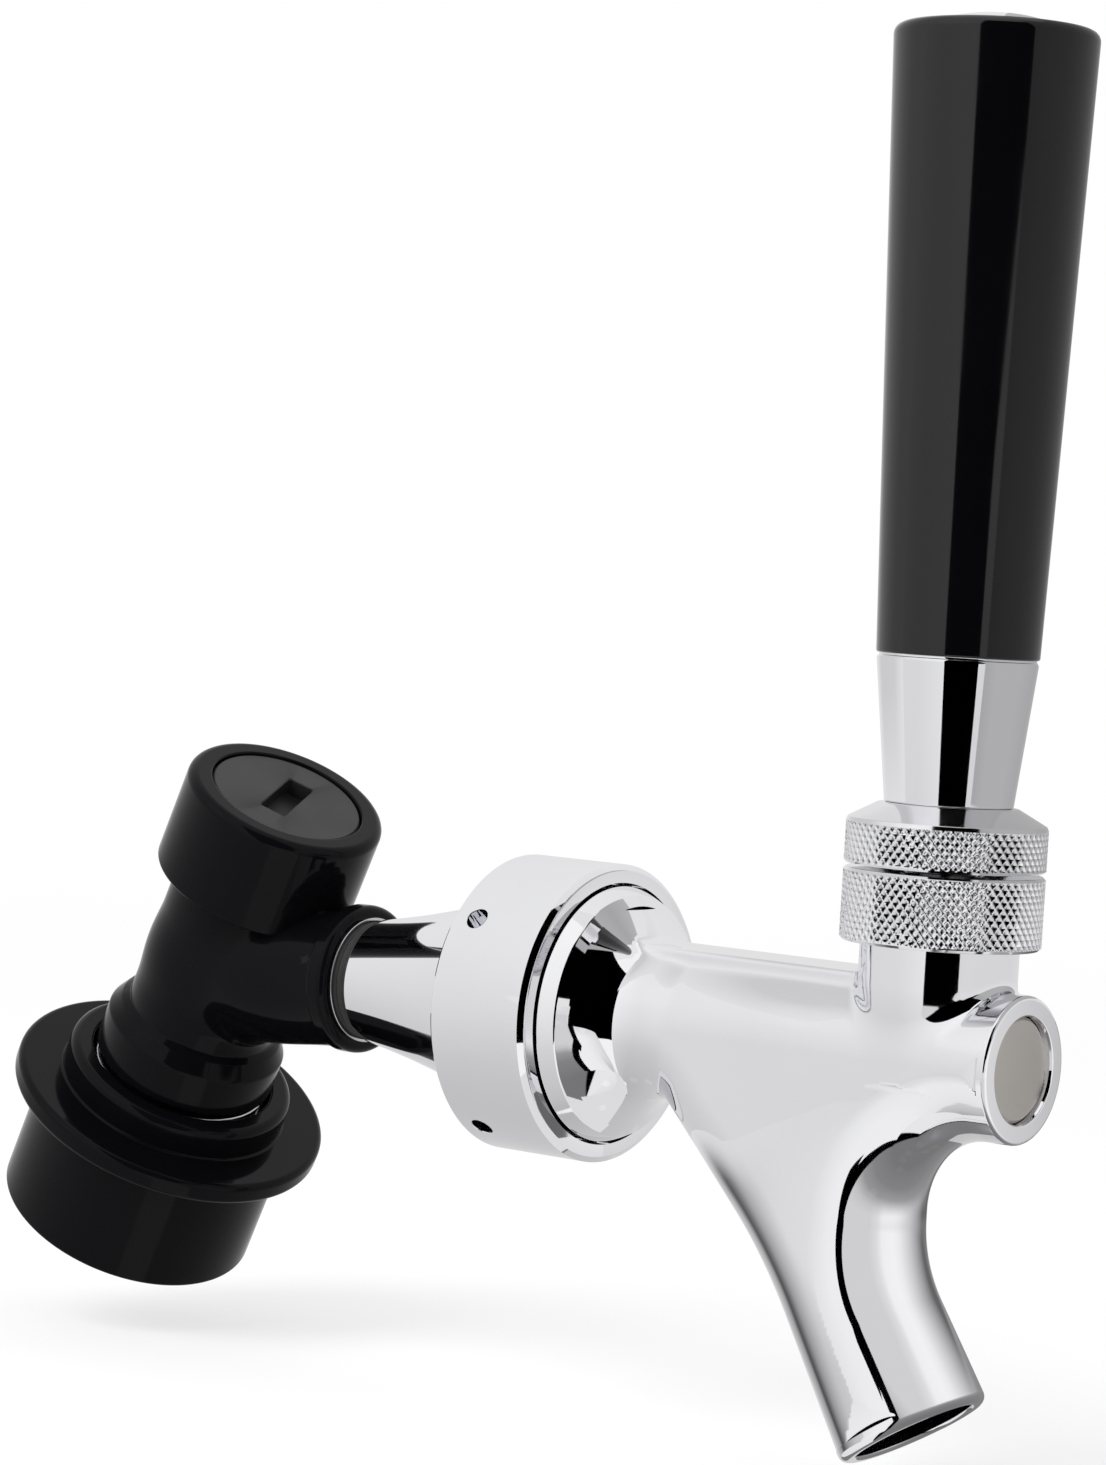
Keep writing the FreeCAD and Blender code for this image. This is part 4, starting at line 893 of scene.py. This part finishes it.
trumpetTube = {
    "outline": [(4.0, 59.1), (13.8, 59.1), (14.2, 59.5), (14.2, 62.5), (14.0, 62.5, 0.1, -0.5),
                (8.3, 85.7), (7.8, 86.2), (5.6, 86.2), (5.6, 75.0), (4.0, 75.0)],
    "slot": "polished_chrome", "body": "fixed", "node": "adapter",
}
sealRing = {
    "outline": [(5.7, 86.2), (7.9, 86.2, 0.2), (7.6, 86.7), (7.9, 87.2, 0.1), (7.6, 87.7),
                (7.9, 88.2, 0.1), (7.9, 89.1), (5.7, 89.1)],
    "slot": "seal_rubber", "body": "fixed", "node": "face_seal",
}
turnedPiece("trumpetTube", trumpetTube, barrelPlace)
turnedPiece("sealRing", sealRing, barrelPlace)
print("coupling made")

elbowBody = {
    "trunk": 10.5,
    "arm": (9.4, 10.3),  # radius at the face and at the trunk
    "armWidens": 9,
    "armBlend": 1.8,
    "armFace": 91.3,  # along the barrel
    "cell": 0.45,
    "room": ((-12.5, -27, -13), (12.5, 12.5, 26)),
    "trunkEnds": (-9.2, 23.4),
    "trunkOutline": [
        (0, -8.0), (10.5, -8.0), (10.5, -8.9, 0.3), (11.4, -9.6, 0.5), (12.6, -11.6, 1.0),
        (12.6, -17.2, 0.3), (10.9, -17.2), (10.9, -38.9), (10.2, -38.9), (10.2, -40.2),
        (10.9, -40.2), (10.9, -41.4, 0.4), (9.0, -41.4, 0.4), (9.0, -36.4), (8.8, -36.4),
        (8.8, -19.0), (0, -19.0)],
    "flangeOutline": [
        (0, 91.6), (9.4, 91.6), (9.4, 91.3), (9.88, 90.9, 0.3), (9.88, 88.2, 1.2),
        (8.1, 88.2, 0.25), (8.1, 89.1), (5.5, 89.1), (5.5, 78.9), (3.8, 76.3), (0, 76.3)],
    "slot": "black_plastic", "look": "disconnect_plastic", "body": "fixed",
    "node": "disconnect_body",
}
armPlace = np.linalg.inv(disconnectPlace) @ barrelPlace
armStart = (armPlace @ np.array([0, 0, elbowBody["armFace"], 1]))[:3]
armReach = float(np.linalg.norm(armStart))
armOut = armStart / armReach


def elbowField(x, y, z):
    along = x * armOut[0] + y * armOut[1] + z * armOut[2]
    away = np.sqrt(np.maximum(x * x + y * y + z * z - along * along, 0))
    face, root = elbowBody["arm"]
    radius = root + (face - root) * smoothStep(along, elbowBody["armWidens"], armReach)
    arm = np.where(along > 0, away, np.sqrt(x * x + y * y + z * z)) - radius
    return softUnion(np.hypot(x, y) - elbowBody["trunk"], arm, elbowBody["armBlend"])


foot, head = elbowBody["trunkEnds"]
dressed("elbowBody", together(
    castSurface(elbowField, *elbowBody["room"], elbowBody["cell"], [
        ((0, 0, foot), (0, 0, -1)), ((0, 0, head), (0, 0, 1)), (tuple(armStart), tuple(armOut))]),
    turnedRuns(outlineSegments(elbowBody["trunkOutline"], False)[1:]),
    placedSurface(turnedRuns(outlineSegments(elbowBody["flangeOutline"], False)[1:]), armPlace),
), disconnectPlace, elbowBody)

recessRim = {
    "outline": [(7.95, 88.0), (8.3, 88.0, 0.1), (8.3, 88.35), (7.95, 88.35)],
    "slot": "plain_steel", "body": "fixed",
}
turnedPiece("recessRim", recessRim, barrelPlace)
capShell = {
    "outline": [(10.56, 12.7), (13.7, 12.7, 0.5), (13.7, 26.9, 1.3), (10.56, 26.9, 0.25)],
    "around": 192,
    "slot": "black_plastic", "look": "disconnect_plastic", "body": "fixed",
    "node": "disconnect_cap",
}
turnedPiece("capShell", capShell, disconnectPlace)

plugDisc = {
    "radius": 10.4,
    "low": 23.6,
    "top": 26.6,
    "edge": 0.25,
    "cut": (10.6, 3.6, 2.2),  # length, width and depth of the screwdriver's slot
    "cutEdge": 0.15,
    "turn": 21.0,
    "slot": "plug_plastic", "body": "fixed", "node": "slot_plug",
}


def slottedDisc(disc, around=96):
    # a disc with a straight slot let into its top
    length, width, depth = disc["cut"]
    radius, top, edge, cutEdge = (disc[key] for key in ("radius", "top", "edge", "cutEdge"))
    turn = math.radians(disc["turn"])
    angles = np.arange(around) * 2 * math.pi / around

    def onCircle(size, height):
        return [(size * math.cos(t), size * math.sin(t), height) for t in angles]

    def onSlot(grow, height):
        loop = []
        for t in angles - turn:
            reach = min((length / 2 + grow) / max(abs(math.cos(t)), 1e-6),
                        (width / 2 + grow) / max(abs(math.sin(t)), 1e-6))
            across, up = reach * math.cos(t), reach * math.sin(t)
            c, s = math.cos(turn), math.sin(turn)
            loop.append((across * c - up * s, across * s + up * c, height))
        return loop

    return strung([
        onCircle(radius, disc["low"]), onCircle(radius, top - edge), onCircle(radius - edge, top),
        onSlot(cutEdge, top), onSlot(0, top - cutEdge), onSlot(0, top - depth)], capped=True)


dressed("plugDisc", slottedDisc(plugDisc), disconnectPlace, plugDisc)

catchSleeve = {
    "outline": [(12.9, -17.6, 0.4), (15.9, -17.6, 1.2), (15.9, -22.2, 0.4), (22.0, -22.2, 0.9),
                (22.0, -25.3, 0.9), (17.8, -25.3, 0.5), (17.8, -42.7, 0.6), (15.5, -42.7, 0.4),
                (15.5, -38.8), (14.48, -38.8), (12.58, -31.2), (11.2, -29.4), (11.2, -27.8),
                (12.9, -27.8)],
    "around": 192,
    "slot": "black_plastic", "look": "disconnect_plastic", "body": "sleeve",
    "node": "locking_sleeve",
}
turnedPiece("catchSleeve", catchSleeve, disconnectPlace)

springWire = 0.43
valveSpring = {
    "radius": 3.6, "low": -5.5, "high": 13.1, "turns": 6, "pressedBy": "poppet_slide",
    "travel": 2.5, "slot": "plain_steel", "body": "fixed", "node": "poppet_spring",
}
catchSpring = {
    "radius": 11.9, "low": -27.2, "high": -17.75, "turns": 4, "pressedBy": "sleeve_slide",
    "travel": 5.0, "slot": "plain_steel", "body": "fixed", "node": "sleeve_spring",
}


def coiledSpring(name, values):
    # a round wire along a coil from its low end to its high one
    low, high, turns = values["low"], values["high"], values["turns"]
    curve = bpy.data.curves.new(name + "Line", "CURVE")
    curve.dimensions = "3D"
    curve.bevel_depth = springWire / 1000
    curve.bevel_resolution = 4
    curve.use_fill_caps = True
    spline = curve.splines.new("POLY")
    count = int(turns * 40)
    spline.points.add(count)
    for step in range(count + 1):
        angle = 2 * math.pi * turns * step / count
        local = np.array([values["radius"] * math.cos(angle), values["radius"] * math.sin(angle),
                          low + (high - low) * step / count, 1])
        spline.points[step].co = (*(disconnectPlace @ local)[:3] / 1000, 1)
    line = bpy.data.objects.new(name + "Line", curve)
    bpy.context.scene.collection.objects.link(line)
    bpy.context.view_layer.update()
    wound = bpy.data.meshes.new_from_object(
        line.evaluated_get(bpy.context.evaluated_depsgraph_get()))
    bpy.data.objects.remove(line)
    piece = bpy.data.objects.new(name, wound)
    bpy.context.scene.collection.objects.link(piece)
    finished(piece, values)
    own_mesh(piece)


coiledSpring("valveSpring", valveSpring)
coiledSpring("catchSpring", catchSpring)
print("disconnect made")

cameraSize = {
    "eye": (-428.889, -266.723, 56.482),  # in the faucet's frame
    "turn": -52.686,
    "rise": 2.286,
    "roll": 3.406,
    "lens": 103.2,
    "sensor": 36,
    "clipStart": 0.01,
}
turn, rise = math.radians(cameraSize["turn"]), math.radians(cameraSize["rise"])
back = Vector((math.sin(turn) * math.cos(rise), -math.cos(turn) * math.cos(rise), math.sin(rise)))
right = Vector((math.cos(turn), math.sin(turn), 0))
up = back.cross(right)
roll = math.radians(cameraSize["roll"])
tiltedRight = right * math.cos(roll) + up * math.sin(roll)
tiltedUp = up * math.cos(roll) - right * math.sin(roll)
eye = (Vector(cameraSize["eye"]) + Vector(layout["faucetAt"])) / 1000
camera = bpy.data.objects.new("photoCamera", bpy.data.cameras.new("photoCamera"))
camera.data.sensor_fit = "VERTICAL"
camera.data.sensor_height = cameraSize["sensor"]
camera.data.lens = cameraSize["lens"]
camera.data.clip_start = cameraSize["clipStart"]
camera.matrix_world = Matrix((
    (tiltedRight.x, tiltedUp.x, back.x, eye.x),
    (tiltedRight.y, tiltedUp.y, back.y, eye.y),
    (tiltedRight.z, tiltedUp.z, back.z, eye.z),
    (0, 0, 0, 1)))
bpy.context.scene.collection.objects.link(camera)
bpy.context.scene.camera = camera
print("camera placed")

studio = {
    "world": 0.8,
    "farCards": 700,  # radius about the faucet's own origin
    "middle": (-0.002, -0.10, 0.06),  # what the lamps look at, in metres
    "lamps": {  # offset from the middle (m), width, height, watts, seen in reflections
        "keySoftbox": ((-0.72, 0.26, 0.6), 0.5, 0.6, 7.0, True),
        "frontStrip": ((0.15, -0.9, 0.25), 0.12, 0.9, 2.2, False),
    },
    # far cards: columns of azimuth, low and high elevation, tone; 90 is at -X, 180 at -Y
    "blackCard": [(103, -26, 62, 0.0), (152, -17, 62, 0.0)],
    "blackWing": [(152, 4, 62, 0.0), (180, 22, 60, 0.0)],
    "paleCard": [(152.5, -84, 84, 0.86), (250, -84, 84, 0.84), (340, -84, 84, 0.86),
                 (370, -84, 84, 0.86), (425, -84, 84, 0.88), (462.5, -84, 84, 0.98)],
    "paleLift": [(-84, 0.6), (-35, 0.72), (-10, 0.86), (5, 0.93), (30, 1.0), (84, 1.06)],
    "paleSetBack": 20,
    # cards close around the handle: columns of azimuth, tone
    "handleCards": {"radius": 45, "heights": (21, 39, 210), "footTone": 0.84, "back": 0.84,
                    "left": [(-30, 0.84), (-8, 0.66), (28, 0.68), (45, 0.84)],
                    "right": [(158, 0.42), (175, 0.47), (215, 0.47), (255, 0.42), (300, 0.5)]},
    # cards close around the spout, with a dark gap between them
    "spoutCards": {"radius": 40, "foot": -75, "back": 0.8, "gapWidth": 9, "gapTop": -3,
                   "gap": [(-75, 114), (-43, 107), (-33, 102), (-26, 97), (-22, 94), (-13, 97),
                           (0, 101)],
                   "left": [(-20, 0.8), (0, 0.5), (9, 0.1), (15, 0.2), (23, 0.42), (32, 0.58),
                            (45, 0.78), (60, 0.86), (80, 0.95), (120, 0.97)],
                   "right": [(90, 0.7), (140, 0.7), (155, 0.8), (165, 0.97), (186, 1.0),
                             (200, 0.93), (222, 0.68), (247, 0.35), (262, 0.14), (290, 0.14)],
                   "top": [(-20, -17), (28, -17), (55, -9), (96, -9), (97, -1), (138, -1),
                           (146, 6), (290, 6)],
                   "ends": {"left": -20, "right": 290},
                   "leftFall": [(-75, 0.7), (-45, 0.8), (-27, 1.0)],  # height, share of the tone
                   "leftFallEnd": 60,
                   "leftRim": (9, 0.79),  # depth below the top, tone
                   # height, share of the tone, grey added
                   "rightFall": [(-75, 0, 0.2), (-45, 0, 0.25), (-35, 0.1, 0.27),
                                 (-29, 0.5, 0.26), (-25, 1.0, 0), (6, 1.0, 0)],
                   "strip": {"radius": 42, "turns": (80, 100, 120, 140), "heights": (-75, -10)},
                   "tray": [(-20, 0.8), (60, 0.9), (99, 0.9), (101, 0), (115, 0), (118, 0.2),
                            (340, 0.2)]},
    "floor": {"halfSize": 4, "drop": 0.002, "colour": 0.9, "near": 0.15, "far": 0.8,
              "nearGlow": 0.6},
}
white = (1, 1, 1, 1)
world = bpy.data.worlds.new("studioWorld")
bpy.context.scene.world = world
world.use_nodes = True
tree = world.node_tree
sky = tree.nodes["Background"]
sky.inputs["Color"].default_value = white
sky.inputs["Strength"].default_value = studio["world"]
backdrop = madeNode(tree, "ShaderNodeBackground", {"Color": white})
lightPath = madeNode(tree, "ShaderNodeLightPath")
seen = madeNode(tree, "ShaderNodeMath", operation="MAXIMUM")
seenThrough = madeNode(tree, "ShaderNodeMath", operation="MAXIMUM")
backdropMix = madeNode(tree, "ShaderNodeMixShader")
wired(tree, (lightPath, "Is Camera Ray", seen, 0), (lightPath, "Is Glossy Ray", seen, 1),
      (seen, "Value", seenThrough, 0), (lightPath, "Is Transmission Ray", seenThrough, 1),
      (seenThrough, "Value", backdropMix, "Fac"), (sky, "Background", backdropMix, 1),
      (backdrop, "Background", backdropMix, 2),
      (backdropMix, "Shader", tree.nodes["World Output"], "Surface"))

for name, (offset, width, height, watts, glossy) in studio["lamps"].items():
    lamp = bpy.data.lights.new(name, "AREA")
    lamp.shape = "RECTANGLE"
    lamp.size, lamp.size_y = width, height
    lamp.energy = watts
    holder = bpy.data.objects.new(name, lamp)
    holder.location = Vector(studio["middle"]) + Vector(offset)
    holder.rotation_euler = (-Vector(offset)).to_track_quat("-Z", "Y").to_euler()
    holder.visible_glossy = glossy
    bpy.context.scene.collection.objects.link(holder)

# cards that only reflections see: their front looks inwards, their back has its own tone
cardPaper = bpy.data.materials.new("cardPaper")
cardPaper.use_nodes = True
tree = cardPaper.node_tree
tree.nodes.remove(tree.nodes["Principled BSDF"])
frontTone = madeNode(tree, "ShaderNodeAttribute", attribute_name="frontTone")
backTone = madeNode(tree, "ShaderNodeAttribute", attribute_name="backTone")
facing = madeNode(tree, "ShaderNodeNewGeometry")
toneMix = madeNode(tree, "ShaderNodeMix", data_type="FLOAT")
glow = madeNode(tree, "ShaderNodeEmission")
wired(tree, (facing, "Backfacing", toneMix, 0), (frontTone, "Fac", toneMix, 2),
      (backTone, "Fac", toneMix, 3), (toneMix, 0, glow, "Strength"),
      (glow, "Emission", tree.nodes["Material Output"], "Surface"))


def studioCard(name, rows, back=None):
    # rows of (azimuth, radius, height, tone), each row as long as the next
    points, tones, faces = [], [], []
    for row in rows:
        for turn, radius, height, tone in row:
            angle = math.radians(turn)
            points.append((-radius * math.sin(angle), radius * math.cos(angle), height))
            tones.append(tone)
    count = len(rows[0])
    for level in range(len(rows) - 1):
        for step in range(count - 1):
            first = level * count + step
            faces.append([first, first + count, first + count + 1, first + 1])
    card = newPiece(name, (points, faces, None), faucetPlace)
    backs = tones if back is None else [back] * len(tones)
    for label, values in (("frontTone", tones), ("backTone", backs)):
        card.data.attributes.new(label, "FLOAT", "POINT").data.foreach_set("value", values)
    card.data.materials.append(cardPaper)
    card.visible_camera = card.visible_diffuse = card.visible_shadow = False


def stops(columns, value, column=1):
    return float(np.interp(value, [c[0] for c in columns], [c[column] for c in columns]))


for name in ("blackCard", "blackWing", "paleCard"):
    columns = studio[name]
    pale = name == "paleCard"
    reach = studio["farCards"] + (studio["paleSetBack"] if pale else 0)
    rows = []
    for level in range(17):
        row = []
        for turn in np.linspace(columns[0][0], columns[-1][0], 73):
            low, high, tone = (stops(columns, turn, k) for k in (1, 2, 3))
            rise = low + (high - low) * level / 16
            tone *= stops(studio["paleLift"], rise) if pale else 1
            row.append((turn, reach * math.cos(math.radians(rise)),
                        reach * math.sin(math.radians(rise)), tone))
        rows.append(row)
    studioCard(name, rows)

cards = studio["handleCards"]
for side in ("left", "right"):
    rows = []
    for height in cards["heights"]:
        plain = side == "left" and height == cards["heights"][0]
        rows.append([(turn, cards["radius"], height,
                      cards["footTone"] if plain else stops(cards[side], turn))
                     for turn in np.linspace(cards[side][0][0], cards[side][-1][0], 41)])
    studioCard("handleCard." + side, rows, cards["back"])

cards = studio["spoutCards"]
for side, far in cards["ends"].items():
    rows = []
    for level in np.linspace(0, 1, 38):
        edge = stops(cards["gap"], cards["foot"] + (cards["gapTop"] - cards["foot"]) * level)
        edge += cards["gapWidth"] / 2 * (1 if side == "right" else -1)
        row = []
        for turn in sorted(np.linspace(edge, far, 61)):
            top = stops(cards["top"], turn)
            height = cards["foot"] + (top - cards["foot"]) * level
            tone = stops(cards[side], turn)
            if side == "left":
                rimDepth, rimTone = cards["leftRim"]
                blend = float(smoothStep(top - height, 0, rimDepth))
                tone *= stops(cards["leftFall"], height) if turn < cards["leftFallEnd"] else 1
                tone = tone * blend + rimTone * (1 - blend)
            else:
                tone = (tone * stops(cards["rightFall"], height)
                        + stops(cards["rightFall"], height, 2))
            row.append((turn, cards["radius"], height, tone))
        rows.append(row)
    studioCard("spoutCard." + side, rows, cards["back"])
strip = cards["strip"]
studioCard("spoutGap", [[(turn, strip["radius"], height, 0.0) for turn in strip["turns"]]
                        for height in strip["heights"]], cards["back"])
studioCard("spoutTray", [[(turn, radius, cards["foot"], stops(cards["tray"], turn))
                          for turn in range(-20, 341)] for radius in (0.1, strip["radius"])],
           cards["back"])

# pale paper on the ground; it keeps the shadow and fades into the white behind it
ground = studio["floor"]
half = ground["halfSize"]
floorMesh = bpy.data.meshes.new("floor")
floorMesh.from_pydata([(-half, -half, 0), (half, -half, 0), (half, half, 0), (-half, half, 0)],
                      [], [(0, 1, 2, 3)])
floor = bpy.data.objects.new("floor", floorMesh)
floor.location = (0, 0, cadBox[0][2] - ground["drop"])
floor.visible_glossy = False
bpy.context.scene.collection.objects.link(floor)
paper = bpy.data.materials.new("floorPaper")
paper.use_nodes = True
tree = paper.node_tree
matte = tree.nodes["Principled BSDF"]
matte.inputs["Base Color"].default_value = (*[ground["colour"]] * 3, 1)
matte.inputs["Roughness"].default_value = 0.9
glow = madeNode(tree, "ShaderNodeEmission")
spot = madeNode(tree, "ShaderNodeTexCoord")
away = madeNode(tree, "ShaderNodeVectorMath", operation="LENGTH")
fade = madeNode(tree, "ShaderNodeMapRange", {
    "From Min": ground["near"], "From Max": ground["far"], "To Min": ground["nearGlow"]},
    interpolation_type="SMOOTHSTEP")
lightPath = madeNode(tree, "ShaderNodeLightPath")
share = madeNode(tree, "ShaderNodeMath", operation="MULTIPLY")
blend = madeNode(tree, "ShaderNodeMixShader")
wired(tree, (spot, "Object", away, 0), (away, "Value", fade, "Value"),
      (lightPath, "Is Camera Ray", share, 0), (fade, "Result", share, 1),
      (share, "Value", blend, "Fac"), (matte, "BSDF", blend, 1), (glow, "Emission", blend, 2),
      (blend, "Shader", tree.nodes["Material Output"], "Surface"))
floorMesh.materials.append(paper)

bpy.context.scene.view_settings.view_transform = "Standard"
print("studio ready")
